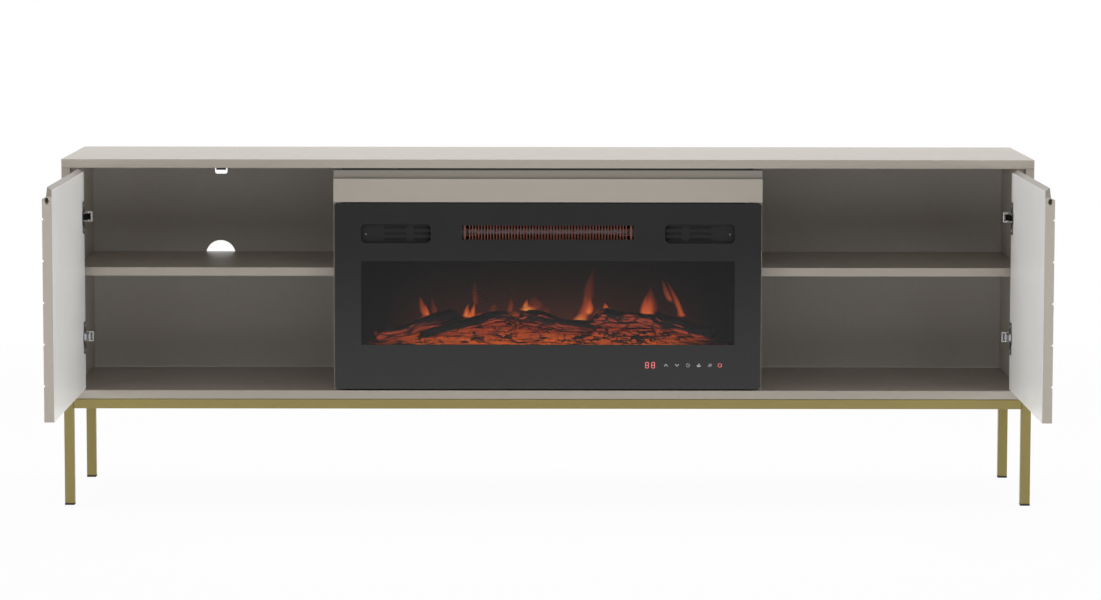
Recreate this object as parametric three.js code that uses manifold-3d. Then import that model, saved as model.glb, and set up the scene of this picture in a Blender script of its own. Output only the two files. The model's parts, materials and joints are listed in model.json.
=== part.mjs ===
// Fireplace TV stand: a low two-metre cabinet on a square-tube base, with two inset doors
// on concealed hinges and an electric fireplace insert in the middle.
// Millimetres, +Z up, front towards -Y. Both doors are drawn standing open.

import * as THREE from 'three';
import Module from 'manifold-3d';
import { mergeVertices } from 'three/addons/utils/BufferGeometryUtils.js';

const wasm = await Module();
wasm.setup();

// Cabinet boards
const hearthWidth = 848;
const cabinetDepth = 420;
const boardThickness = 18;
const backThickness = 3;
const bayWidth = 540;
const innerHeight = 460;
const baseHeight = 222;
const boardEase = 0.8;
const shelfTopHeight = 491.5;
const shelfSetback = 40;
const shelfSideGap = 1;

// Fits
const seat = 0.3;
const overrun = 2;

// Sides of round pieces, by their size
const pinSides = 8;
const barSides = 12;
const discSides = 24;
const holeSides = 32;
const arcSteps = 10;

// Square-tube base
const tubeSize = 20;
const tubeWall = 1.5;
const tubeCorner = 2;
const footHeight = 4.2;
const footPlugDepth = 14;

// Doors and the fascia strip share one milled finger-pull section
const doorThickness = 19.6;
const doorGap = 1.5;
const doorStandoff = 7;
const pivotDepth = 4.5;
const doorOpenAngle = 90;
const pullLegThickness = 9.1;
const pullLegDrop = 6.8;
const pullFootThickness = 11.8;
const pocketWidth = 7.7;
const pocketHeight = 13;
const pocketInset = 5.7;
const pocketTop = 21;
const lipThickness = 5.2;
const lipDrop = 23;
const grooveDepth = 3.3;
const grooveHeight = 5.5;
const grooveFirst = 62.5;
const groovePitch = 81;
const fasciaHeight = 68;
const fasciaGap = 2;
const fasciaOverlap = 17.5;
const fasciaRailHeight = 60;

// Concealed hinges
const hingeTopInset = 100.5;
const hingeBottomInset = 108;
const cupRadius = 17.5;
const cupDepth = 12;
const cupWall = 1.2;
const cupSetback = 22;
const flangeWidth = 22;
const flangeHeight = 66;
const flangeThickness = 1.5;
const flangeCorner = 5;
const armWidth = 20;
const armSheet = 1.4;
const armNoseStart = 22.5;
const armNoseLow = 27;
const armNoseHigh = 42;
const armNoseLength = 16;
const armCrankLength = 14;
const armTailLow = 9;
const armTailHigh = 21;
const armEnd = 88;
const plateStart = 46;
const plateEnd = 92;
const plateThickness = 2;
const plateBossWidth = 16;
const wingStart = 50;
const wingEnd = 66;
const wingHeight = 52;
const linkPinInset = 34;
const linkPinDepth = 24;
const cupPinSetback = 10.5;
const cupPinDepth = 7.1;
const hingePinRadius = 1.5;
const linkWidth = 12;
const linkThickness = 2.4;
const linkEyeRadius = 3.1;
const linkElbowBack = 2;
const linkElbowRise = 9;
const linkSlotNear = 2.6;
const linkSlotFar = 0.4;
const linkSlotPlay = 0.75;
const linkSlotWall = 1.2;
const rimNotchWidth = 18;
const rimNotchReach = 7;
const rimNotchDepth = 1;

// Shelf pins
const pinRadius = 2.5;
const pinHeadRadius = 4;
const pinHeadThickness = 1.5;
const pinBite = 8;
const pinReach = 8;
const pinInset = 55;

// Openings in the back and the wall bracket
const cableHoleRadius = 32;
const cableHoleInset = 275;
const cableHoleDrop = 200;
const backSlotWidth = 27;
const backSlotCorner = 5;
const backSlotBottomDrop = 40.5;
const backSlotInset = 277;
const bracketWidth = 21;
const bracketThickness = 2.5;
const bracketLeg = 26;
const bracketDrop = 32;
const bracketHoleRadius = 2.6;
const bracketHoleDrop = 20;
const ventWindowWidth = 360;
const ventWindowHeight = 120;

// Fireplace front
const glassOverlap = 15.7;
const glassThickness = 4;
const glassCorner = 6;
const glassTopGap = 2;
const glassBottomGap = 3;
const frameInset = 2;
const frameSheet = 1.5;
const frameDepth = 15;
const windowSideMargin = 39;
const windowBottomMargin = 90.5;
const windowTopMargin = 121.5;
const outletHeight = 30;
const outletDrop = 61;
const outletCorner = 2;
const ventWidth = 143.5;
const ventHeight = 39.5;
const ventDrop = 63;
const ventToOutlet = 65;
const ventCorner = 10;
const ventSheet = 1.2;
const ventRecess = 6;
const louvreHeight = 5.5;
const louvrePitch = 12.2;
const louvreLong = 44.8;
const louvreShort = 35;
const louvreBridge = 15.3;

// Fireplace case and firebox
const caseSideGap = 14;
const caseDepth = 170;
const caseSheet = 1.2;
const casePadRadius = 11;
const casePadHeight = 10.6;
const casePadInset = 40;
const fireboxSheet = 1.5;
const fireboxMargin = 9;
const fireboxDepth = 98;
const screenThickness = 3;

// Ember bed and logs
const emberEndGap = 10;
const emberDepth = 84;
const emberBase = 5;
const emberRise = 26;
const emberLump = 4;
const emberColumns = 40;
const emberRows = 6;
const emberSwellShare = 0.25;
const emberSwells = 2.5;
const lumpWaves = 9.7;
const lumpSkewWaves = 3.7;
const lumpBackWaves = 1.4;
const crumbWaves = 4.6;
const crumbBackWaves = 0.8;
const logStackHeight = 72;
const logRadius = 14;
const logSides = 9;
const logRings = 7;
const logTipShare = 0.8;
const logRidges = 3;
const logRidgeShare = 0.12;
const logKnots = 1.5;
const logKnotShare = 0.08;
const logTwist = 0.6;
const logTurn = 1.7;

// Flame spindle
const spindleRadius = 3;
const spindleBehindScreen = 24;
const spindleRise = 22;
const flagCount = 22;
const flagLength = 24;
const flagReach = 15;
const flagThickness = 0.8;
const flagTurn = 2.4;
const motorRadius = 22;
const motorLength = 18;
const spindleBracketWidth = 30;
const bearingDepth = 6;
const ledStripHeight = 12;
const ledStripThickness = 1.6;
const ledSize = 4;
const ledCount = 18;

// Heater
const ductHeight = 62;
const ductDepth = 132;
const ductSheet = 1.2;
const ductMargin = 6;
const wireThickness = 2.4;
const wireCount = 53;
const grilleBar = 2;
const grilleDepth = 3;
const grilleTab = 14;
const reflectorGap = 9;
const reflectorDepth = 30;
const reflectorSheet = 1;
const quartzRadius = 6;
const quartzCapRadius = 9;
const quartzCapLength = 14;
const quartzStandoff = 15;
const blowerRadius = 22;
const blowerHub = 4;
const blowerDisc = 1.5;
const blowerBladeCount = 18;
const blowerBladeWidth = 8;
const blowerBladeThickness = 0.9;
const blowerGap = 4;
const blowerMotorRadius = 20;
const blowerMotorLength = 34;

// Controls and mains entry
const boardWidth = 190;
const boardHeight = 36;
const circuitThickness = 1.6;
const circuitStandoff = 7;
const standoffRadius = 3;
const standoffInset = 6;
const displayWidth = 26;
const displayHeight = 15;
const controlsInset = 46;
const controlsRise = 49.5;
const glandRadius = 9;
const glandTipRadius = 7.2;
const glandBore = 4.5;
const glandLength = 14;
const glandFlange = 3;
const glandInset = 90;
const glandRise = 60;

// Finishes: colour, roughness and metalness of each
const finishes = {
  lacquer: [0xbab2a6, 0.35, 0],
  backBoard: [0x8d8880, 0.7, 0],
  gold: [0x9c8f5c, 0.35, 1],
  blackPlastic: [0x37302a, 0.6, 0],
  steel: [0xc2c4c6, 0.25, 1],
  darkSteel: [0x2e2e30, 0.45, 0.6],
  blackGlass: [0x2c2c2e, 0.08, 0],
  blackSheet: [0x1c1c1d, 0.6, 0.3],
  ember: [0xc2501c, 0.7, 0],
  mirrorFoil: [0xcfd2d4, 0.15, 1],
  screen: [0x3a3532, 0.5, 0],
  rustWire: [0x5b3228, 0.5, 0.4],
  quartz: [0x9aa0a8, 0.15, 0],
  circuit: [0x1f4a2c, 0.6, 0],
};

// Heights and depths that follow from the sizes above
const dividerInner = hearthWidth / 2;
const dividerOuter = dividerInner + boardThickness;
const sideInner = dividerOuter + bayWidth;
const halfWidth = sideInner + boardThickness;
const floorTop = baseHeight + boardThickness;
const ceiling = floorTop + innerHeight;
const doorWidth = bayWidth - 2 * doorGap;
const doorHeight = innerHeight - 2 * doorGap;
const pivotInset = doorStandoff + pivotDepth;
const pivotSetback = pivotInset - doorGap;
const doorReach = doorWidth - pivotSetback - pivotDepth;
const frontY = (doorReach - cabinetDepth) / 2;
const rearY = frontY + cabinetDepth;
const backInnerY = rearY - backThickness;
const boxRearY = backInnerY - seat;
const doorBottom = floorTop + doorGap;
const doorTop = doorBottom + doorHeight;
const hingeHeights = [doorTop - hingeTopInset, doorBottom + hingeBottomInset];
const hingePlaces = ['upper', 'lower'];

const group = new THREE.Group();

// Adds one named piece in one finish
function addPiece(name, geometry, finish, parent = group) {
  const [color, roughness, metalness] = finishes[finish];
  const mesh = new THREE.Mesh(geometry, new THREE.MeshStandardMaterial({ color, roughness, metalness }));
  mesh.name = name;
  parent.add(mesh);
  return mesh;
}

// Turns a closed geometry into a solid for joining and cutting
function solidOf(geometry) {
  const bare = geometry.clone();
  bare.deleteAttribute('normal');
  bare.deleteAttribute('uv');
  const merged = mergeVertices(bare);
  const vertProperties = new Float32Array(merged.attributes.position.array);
  const triVerts = new Uint32Array(merged.index.array);
  return new wasm.Manifold(new wasm.Mesh({ numProp: 3, vertProperties, triVerts }));
}

function geometryOf(solid) {
  const mesh = solid.getMesh();
  const geometry = new THREE.BufferGeometry();
  geometry.setAttribute('position', new THREE.BufferAttribute(new Float32Array(mesh.vertProperties), 3));
  geometry.setIndex(new THREE.BufferAttribute(new Uint32Array(mesh.triVerts), 1));
  geometry.computeVertexNormals();
  return geometry;
}

function join(...geometries) {
  return geometryOf(geometries.map(solidOf).reduce((whole, part) => whole.add(part)));
}

function cut(base, ...tools) {
  return geometryOf(tools.map(solidOf).reduce((whole, tool) => whole.subtract(tool), solidOf(base)));
}

// The same shape on the other side of the middle plane
function mirrored(geometry) {
  const twin = mergeVertices(geometry.clone().deleteAttribute('normal').deleteAttribute('uv'));
  twin.scale(-1, 1, 1);
  const turned = Array.from(twin.index.array);
  for (let i = 0; i < turned.length; i += 3) {
    [turned[i], turned[i + 1]] = [turned[i + 1], turned[i]];
  }
  twin.setIndex(turned);
  twin.computeVertexNormals();
  return twin;
}

// A left piece and its mirrored right twin
function addPair(name, geometry, finish) {
  addPiece(`${name}_left`, geometry, finish);
  addPiece(`${name}_right`, mirrored(geometry), finish);
}

// A plain block between two corners
function block(x0, x1, y0, y1, z0, z1) {
  const geometry = new THREE.BoxGeometry(x1 - x0, y1 - y0, z1 - z0);
  geometry.translate((x0 + x1) / 2, (y0 + y1) / 2, (z0 + z1) / 2);
  return geometry;
}

// A round bar from a point along one axis
function bar(radius, length, axis, x, y, z, sides = barSides) {
  const geometry = new THREE.CylinderGeometry(radius, radius, length, sides);
  if (axis === 'x') {
    geometry.rotateZ(-Math.PI / 2);
    geometry.translate(x + length / 2, y, z);
  } else if (axis === 'y') {
    geometry.translate(x, y + length / 2, z);
  } else {
    geometry.rotateX(Math.PI / 2);
    geometry.translate(x, y, z + length / 2);
  }
  return geometry;
}

// Runs a (y, z) outline along X, an (x, z) outline along Y, or an (x, y) outline along Z
const runBases = {
  x: new THREE.Matrix4().makeBasis(
    new THREE.Vector3(0, 1, 0), new THREE.Vector3(0, 0, 1), new THREE.Vector3(1, 0, 0)),
  y: new THREE.Matrix4().makeBasis(
    new THREE.Vector3(1, 0, 0), new THREE.Vector3(0, 0, 1), new THREE.Vector3(0, -1, 0)),
  z: new THREE.Matrix4(),
};

function run(shape, axis, from, to, curveSegments = 2) {
  const geometry = new THREE.ExtrudeGeometry(shape, {
    depth: to - from, bevelEnabled: false, steps: 1, curveSegments,
  });
  geometry.applyMatrix4(runBases[axis]);
  if (axis === 'x') geometry.translate(from, 0, 0);
  if (axis === 'y') geometry.translate(0, to, 0);
  if (axis === 'z') geometry.translate(0, 0, from);
  return geometry;
}

function outline(points) {
  return new THREE.Shape(points.map(([a, b]) => new THREE.Vector2(a, b)));
}

function roundedOutline(a0, a1, b0, b1, radius, Kind = THREE.Shape) {
  const shape = new Kind();
  shape.moveTo(a0 + radius, b0);
  shape.lineTo(a1 - radius, b0);
  shape.absarc(a1 - radius, b0 + radius, radius, -Math.PI / 2, 0);
  shape.lineTo(a1, b1 - radius);
  shape.absarc(a1 - radius, b1 - radius, radius, 0, Math.PI / 2);
  shape.lineTo(a0 + radius, b1);
  shape.absarc(a0 + radius, b1 - radius, radius, Math.PI / 2, Math.PI);
  shape.lineTo(a0, b0 + radius);
  shape.absarc(a0 + radius, b0 + radius, radius, Math.PI, 3 * Math.PI / 2);
  return shape;
}

// A board whose two long front edges are eased
function easedBoard(x0, x1, y0, y1, z0, z1) {
  const section = outline([
    [y0 + boardEase, z0], [y1, z0], [y1, z1], [y0 + boardEase, z1],
    [y0, z1 - boardEase], [y0, z0 + boardEase],
  ]);
  return run(section, 'x', x0, x1);
}

// Two long boards, the sides, the dividers and the backs
function buildCarcass() {
  const topZ = ceiling + boardThickness;
  addPiece('top_panel', easedBoard(-halfWidth, halfWidth, frontY, rearY, ceiling, topZ), 'lacquer');
  addPiece('bottom_panel',
    easedBoard(-halfWidth, halfWidth, frontY, rearY, baseHeight, floorTop), 'lacquer');

  const low = floorTop + seat;
  const high = ceiling - seat;
  const side = block(-halfWidth, -sideInner, frontY, boxRearY, low, high);
  addPair('side_panel', join(side, ...shelfPins(-sideInner, 1)), 'lacquer');

  const dividerFront = frontY + doorThickness + seat;
  const divider = block(-dividerOuter, -dividerInner, dividerFront, boxRearY, low, high);
  addPair('divider', join(divider, ...shelfPins(-dividerOuter, -1)), 'lacquer');

  const seam = (dividerOuter + dividerInner) / 2;
  const bayBack = block(-halfWidth, -seam - seat / 2, backInnerY, rearY, low, high);
  const holeX = -sideInner + cableHoleInset;
  const hole = bar(cableHoleRadius, backThickness + 2 * overrun, 'y', holeX, backInnerY - overrun,
    ceiling - cableHoleDrop, holeSides);
  const slotX = -sideInner + backSlotInset;
  const slot = run(roundedOutline(slotX - backSlotWidth / 2, slotX + backSlotWidth / 2,
    ceiling - backSlotBottomDrop, ceiling + backSlotCorner, backSlotCorner), 'y',
  backInnerY - overrun, rearY + overrun);
  addPiece('back_panel_left', cut(bayBack, hole, slot), 'backBoard');
  addPiece('back_panel_right', mirrored(bayBack), 'backBoard');

  const middle = block(-seam + seat / 2, seam - seat / 2, backInnerY, rearY, low, high);
  const middleZ = (floorTop + ceiling) / 2;
  const vent = block(-ventWindowWidth / 2, ventWindowWidth / 2, backInnerY - overrun, rearY + overrun,
    middleZ - ventWindowHeight / 2, middleZ + ventWindowHeight / 2);
  addPiece('back_panel_centre', cut(middle, vent), 'backBoard');
}

// Two collared pins that stand out of a wall under the shelf
function shelfPins(wallX, inward) {
  const pinZ = shelfTopHeight - boardThickness - seat - pinRadius;
  const profile = [
    [0, -pinBite], [pinRadius, -pinBite], [pinRadius, -overrun / 2], [pinHeadRadius, -overrun / 2],
    [pinHeadRadius, pinHeadThickness], [pinRadius, pinHeadThickness], [pinRadius, pinReach],
    [0, pinReach],
  ].map(([r, l]) => new THREE.Vector2(r, l));
  return [frontY + shelfSetback + pinInset, boxRearY - pinInset].map((y) => {
    const pin = new THREE.LatheGeometry(profile, pinSides);
    pin.rotateZ(-inward * Math.PI / 2);
    pin.translate(wallX, y, pinZ);
    return pin;
  });
}

// Shelves that lie on the pins of the side and the divider
function buildShelves() {
  const shelf = easedBoard(-sideInner + shelfSideGap, -dividerOuter - shelfSideGap,
    frontY + shelfSetback, boxRearY, shelfTopHeight - boardThickness, shelfTopHeight);
  addPair('shelf', cut(shelf, ...pinHeadNotches()), 'lacquer');
}

// Small notches in the underside of a shelf for the collars of its pins
function pinHeadNotches() {
  const top = shelfTopHeight - boardThickness - seat - pinRadius + pinHeadRadius + seat;
  const reach = pinHeadRadius + seat;
  const notches = [];
  for (const y of [frontY + shelfSetback + pinInset, boxRearY - pinInset]) {
    for (const [x0, x1] of [[-sideInner, -sideInner + pinHeadThickness + seat],
      [-dividerOuter - pinHeadThickness - seat, -dividerOuter]]) {
      notches.push(block(x0, x1, y - reach, y + reach, shelfTopHeight - boardThickness - overrun, top));
    }
  }
  return notches;
}

// Angle bracket under the top board that faces the notch in the left back
function buildWallBracket() {
  const x = -sideInner + backSlotInset;
  const heel = boxRearY - seat;
  const section = outline([
    [heel - bracketLeg, ceiling - seat - bracketThickness], [heel - bracketThickness,
      ceiling - seat - bracketThickness], [heel - bracketThickness, ceiling - bracketDrop],
    [heel, ceiling - bracketDrop], [heel, ceiling - seat], [heel - bracketLeg, ceiling - seat],
  ]);
  const angle = run(section, 'x', x - bracketWidth / 2, x + bracketWidth / 2);
  const wallHole = bar(bracketHoleRadius, bracketThickness + 2 * overrun, 'y', x,
    heel - bracketThickness - overrun, ceiling - bracketHoleDrop);
  const topHole = bar(bracketHoleRadius, bracketThickness + 2 * overrun, 'z', x,
    heel - bracketLeg / 2 - bracketThickness / 2, ceiling - seat - bracketThickness - overrun);
  addPiece('wall_bracket', cut(angle, wallHole, topHole), 'darkSteel');
}

// Hollow square tube outline with rounded corners
function tubeOutline(a0, b0) {
  const shape = roundedOutline(a0, a0 + tubeSize, b0, b0 + tubeSize, tubeCorner);
  const inner = [
    [a0 + tubeWall, b0 + tubeWall], [a0 + tubeWall, b0 + tubeSize - tubeWall],
    [a0 + tubeSize - tubeWall, b0 + tubeSize - tubeWall], [a0 + tubeSize - tubeWall, b0 + tubeWall],
  ];
  shape.holes.push(new THREE.Path(inner.map(([a, b]) => new THREE.Vector2(a, b))));
  return shape;
}

// Four legs, four rails between their tops and a plastic plug in each leg
function buildBase() {
  const legTop = baseHeight - seat;
  const railLow = legTop - tubeSize;
  const nearY = frontY;
  const farY = rearY - tubeSize;
  for (const [place, y] of [['front', nearY], ['rear', farY]]) {
    const leg = run(tubeOutline(-halfWidth, y), 'z', footHeight + seat, legTop);
    addPair(`leg_${place}`, leg, 'gold');
    const rail = run(tubeOutline(y, railLow), 'x',
      -halfWidth + tubeSize + seat, halfWidth - tubeSize - seat);
    addPiece(`frame_rail_${place}`, rail, 'gold');

    const x = -halfWidth + tubeSize / 2;
    const mid = y + tubeSize / 2;
    const sole = tubeSize / 2;
    const stem = tubeSize / 2 - tubeWall - seat;
    const pad = block(x - sole, x + sole, mid - sole, mid + sole, 0, footHeight);
    const plug = block(x - stem, x + stem, mid - stem, mid + stem,
      footHeight / 2, footHeight + footPlugDepth);
    addPair(`foot_${place}`, join(pad, plug), 'blackPlastic');
  }
  const sideRail = run(tubeOutline(-halfWidth, railLow), 'y',
    nearY + tubeSize + seat, farY - seat);
  addPair('frame_rail', sideRail, 'gold');
}

// Section of a front with the milled finger pull along its top edge.
// Points are (distance behind the outer face, height above the bottom edge).
function pullSection(height) {
  const points = [[0, 0]];
  const grooves = [];
  for (let drop = grooveFirst; drop + grooveHeight < height; drop += groovePitch) grooves.unshift(drop);
  for (const drop of grooves) {
    const z = height - drop;
    points.push([0, z - grooveHeight / 2], [grooveDepth, z], [0, z + grooveHeight / 2]);
  }
  points.push([0, height - lipDrop - boardEase], [boardEase, height - lipDrop]);
  points.push([lipThickness, height - lipDrop]);
  const centreIn = pocketInset + pocketWidth / 2;
  const centreDrop = pocketTop + pocketHeight / 2;
  const footIn = doorThickness - pullFootThickness;
  const lastAngle = 2 * Math.PI - Math.acos((centreIn - footIn) / (pocketWidth / 2));
  for (let i = 0; i <= arcSteps; i += 1) {
    const angle = lastAngle * i / arcSteps;
    points.push([
      centreIn - Math.cos(angle) * pocketWidth / 2,
      height - centreDrop - Math.sin(angle) * pocketHeight / 2,
    ]);
  }
  points.push([doorThickness - pullLegThickness, height]);
  points.push([doorThickness, height - pullLegDrop], [doorThickness, 0]);
  return points;
}

// The hinge cup: a pressed pot with a flange that is screwed to the door, a cross pin for the
// link and a notch in its rim that the link passes through
function hingeCup(x, z, innerFace) {
  const profile = [
    [0, -cupDepth], [cupRadius, -cupDepth], [cupRadius, seat + flangeThickness],
    [cupRadius - cupWall, seat + flangeThickness], [cupRadius - cupWall, cupWall - cupDepth],
    [0, cupWall - cupDepth],
  ].map(([r, y]) => new THREE.Vector2(r, y));
  const pot = new THREE.LatheGeometry(profile, discSides);
  pot.translate(x, innerFace, z);
  const plate = run(roundedOutline(x - flangeWidth / 2, x + flangeWidth / 2,
    z - flangeHeight / 2, z + flangeHeight / 2, flangeCorner), 'y',
  innerFace + seat, innerFace + seat + flangeThickness);
  const mouth = bar(cupRadius - cupWall / 2, flangeThickness + 2 * overrun, 'y', x,
    innerFace + seat - overrun, z, discSides);
  const rim = x - cupRadius;
  const notch = block(rim - overrun, rim + rimNotchReach, innerFace - rimNotchDepth,
    innerFace + seat + flangeThickness + overrun, z - rimNotchWidth / 2, z + rimNotchWidth / 2);
  const pinX = x - cupSetback + cupPinSetback;
  const across = cupSetback - cupPinSetback + hingePinRadius;
  const halfPin = Math.sqrt((cupRadius - cupWall / 4) ** 2 - across ** 2);
  const pin = bar(hingePinRadius, 2 * halfPin, 'z', pinX, innerFace - cupPinDepth, z - halfPin, pinSides);
  return join(cut(join(cut(plate, mouth), pot), notch), pin);
}

// Doors are drawn closed about their pivot and turned open by their group
function buildDoors() {
  const section = pullSection(doorHeight).map(([back, up]) => [back - pivotDepth, doorBottom + up]);
  const slab = run(outline(section), 'x', -pivotSetback, doorWidth - pivotSetback);
  const innerFace = doorThickness - pivotDepth;
  const cupX = cupSetback - pivotSetback;
  const bores = hingeHeights.map((z) => bar(cupRadius + seat, cupDepth + seat + overrun, 'y',
    cupX, innerFace - cupDepth - seat, z, discSides));
  const door = cut(slab, ...bores);
  const cups = hingeHeights.map((z) => hingeCup(cupX, z, innerFace));

  const turn = THREE.MathUtils.degToRad(doorOpenAngle);
  const left = new THREE.Group();
  left.position.set(-sideInner + pivotInset, frontY + pivotDepth, 0);
  left.rotation.z = -turn;
  const right = new THREE.Group();
  right.position.set(sideInner - pivotInset, frontY + pivotDepth, 0);
  right.rotation.z = turn;
  group.add(left, right);
  addPiece('door_left', door, 'lacquer', left);
  addPiece('door_right', mirrored(door), 'lacquer', right);
  cups.forEach((cup, i) => {
    addPiece(`hinge_cup_${hingePlaces[i]}_left`, cup, 'steel', left);
    addPiece(`hinge_cup_${hingePlaces[i]}_right`, mirrored(cup), 'steel', right);
  });
}

// Cranked arm of each hinge, a folded channel clipped on the winged plate that is screwed to the side
function buildHingeArms() {
  const at = (inboard, behind) => [-sideInner + inboard, frontY + behind];
  const crankStart = armNoseStart + armNoseLength;
  const crankEnd = crankStart + armCrankLength;
  const cheek = [
    at(armNoseLow, armNoseStart), at(armNoseHigh, armNoseStart), at(armNoseHigh, crankStart),
    at(armTailHigh, crankEnd), at(armTailHigh, armEnd), at(armTailLow, armEnd),
    at(armTailLow, crankEnd), at(armNoseLow, crankStart),
  ];
  const web = [
    at(armNoseHigh - armSheet, armNoseStart), at(armNoseHigh, armNoseStart),
    at(armNoseHigh, crankStart), at(armTailHigh, crankEnd), at(armTailHigh, armEnd),
    at(armTailHigh - armSheet, armEnd), at(armTailHigh - armSheet, crankEnd - armSheet / 2),
    at(armNoseHigh - armSheet, crankStart - armSheet / 2),
  ];
  hingeHeights.forEach((z, i) => {
    const half = armWidth / 2;
    const arm = [
      bar(hingePinRadius, armWidth - armSheet, 'z', ...at(linkPinInset, linkPinDepth),
        z - half + armSheet / 2, pinSides),
      run(outline(cheek), 'z', z - half, z - half + armSheet),
      run(outline(cheek), 'z', z + half - armSheet, z + half),
      run(outline(web), 'z', z - half + armSheet / 2, z + half - armSheet / 2),
    ];
    const x0 = -sideInner + seat;
    const [, y0] = at(0, plateStart);
    const [, y1] = at(0, plateEnd);
    const [, wing0] = at(0, wingStart);
    const [, wing1] = at(0, wingEnd);
    const base = block(x0, x0 + plateThickness, y0, y1, z - plateBossWidth / 2, z + plateBossWidth / 2);
    const wings = run(roundedOutline(wing0, wing1, z - wingHeight / 2, z + wingHeight / 2,
      flangeCorner), 'x', x0, x0 + plateThickness);
    const boss = block(x0, -sideInner + armTailHigh - armSheet / 2, at(0, crankEnd + armSheet)[1],
      at(0, armEnd - armSheet)[1], z - half + armSheet / 2, z + half - armSheet / 2);
    addPair(`hinge_arm_${hingePlaces[i]}`, join(base, wings, boss, ...arm), 'steel');
  });
}

// Round-ended bar outline between two points
function stadium([x0, y0], [x1, y1], radius) {
  const shape = new THREE.Shape();
  const heading = Math.atan2(y1 - y0, x1 - x0);
  shape.absarc(x0, y0, radius, heading + Math.PI / 2, heading + 3 * Math.PI / 2);
  shape.absarc(x1, y1, radius, heading - Math.PI / 2, heading + Math.PI / 2);
  return shape;
}

// Bent link of each hinge: an eye on the cup's pin, an elbow that clears the rim, and a slot
// that the arm's pin slides in as the door turns. Drawn with the door open.
function buildHingeLinks() {
  const at = (inboard, behind) => [-sideInner + inboard, frontY + behind];
  const innerFace = doorStandoff + doorThickness;
  const doorEnd = pivotDepth + pivotSetback;
  const eye = at(innerFace - cupPinDepth, doorEnd - cupPinSetback);
  const elbow = at(innerFace - cupPinDepth + linkElbowRise, doorEnd - cupPinSetback + linkElbowBack);
  const armPin = at(linkPinInset, linkPinDepth);
  const length = Math.hypot(armPin[0] - eye[0], armPin[1] - eye[1]);
  const along = (distance) => armPin.map((end, i) => end + (end - eye[i]) * distance / length);
  const near = along(-linkSlotNear);
  const far = along(linkSlotFar);
  const slotRadius = hingePinRadius + linkSlotPlay;
  hingeHeights.forEach((z, i) => {
    const low = z - linkWidth / 2;
    const high = z + linkWidth / 2;
    const body = join(
      run(stadium(eye, elbow, linkThickness / 2), 'z', low, high),
      run(stadium(elbow, near, linkThickness / 2), 'z', low, high),
      run(stadium(near, far, slotRadius + linkSlotWall), 'z', low, high),
      bar(linkEyeRadius, linkWidth, 'z', ...eye, low, barSides),
    );
    const eyeHole = bar(hingePinRadius + seat, linkWidth + 2 * overrun, 'z', ...eye, low - overrun, barSides);
    const slot = run(stadium(near, far, slotRadius), 'z', low - overrun, high + overrun);
    addPair(`hinge_link_${hingePlaces[i]}`, cut(body, eyeHole, slot), 'steel');
  });
}

// Fascia strip above the fireplace with the rail it is fixed to
function buildFascia() {
  const top = ceiling - fasciaGap;
  const reach = dividerInner + fasciaOverlap;
  const section = pullSection(fasciaHeight).map(([back, up]) => [frontY + back, top - fasciaHeight + up]);
  addPiece('fascia_panel', run(outline(section), 'x', -reach, reach), 'lacquer');
  const railFront = frontY + doorThickness + seat;
  addPiece('fascia_rail', block(-dividerInner + seat, dividerInner - seat, railFront,
    railFront + boardThickness, ceiling - seat - fasciaRailHeight, ceiling - seat), 'lacquer');
}

const glassTop = ceiling - fasciaGap - fasciaHeight - glassTopGap;
const glassBottom = floorTop + glassBottomGap;
const glassReach = dividerInner + glassOverlap;
const windowWidth = hearthWidth - 2 * windowSideMargin;
const windowLow = glassBottom + windowBottomMargin;
const windowHigh = glassTop - windowTopMargin;
const ventOffset = (windowWidth - ventWidth) / 2;
const outletWidth = windowWidth - 2 * (ventWidth + ventToOutlet);
const frameFront = frontY + glassThickness + seat;
const frameBack = frameFront + frameSheet;
const outletZ = glassTop - outletDrop;
const ventZ = glassTop - ventDrop;

function ventOutline(side, grow, Kind = THREE.Shape) {
  const x = side * ventOffset;
  const w = ventWidth / 2 + grow;
  const h = ventHeight / 2 + grow;
  return roundedOutline(x - w, x + w, ventZ - h, ventZ + h, ventCorner + grow, Kind);
}

function outletOutline(grow, Kind = THREE.Shape) {
  const w = outletWidth / 2 + grow;
  const h = outletHeight / 2 + grow;
  return roundedOutline(-w, w, outletZ - h, outletZ + h, outletCorner + grow, Kind);
}

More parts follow.
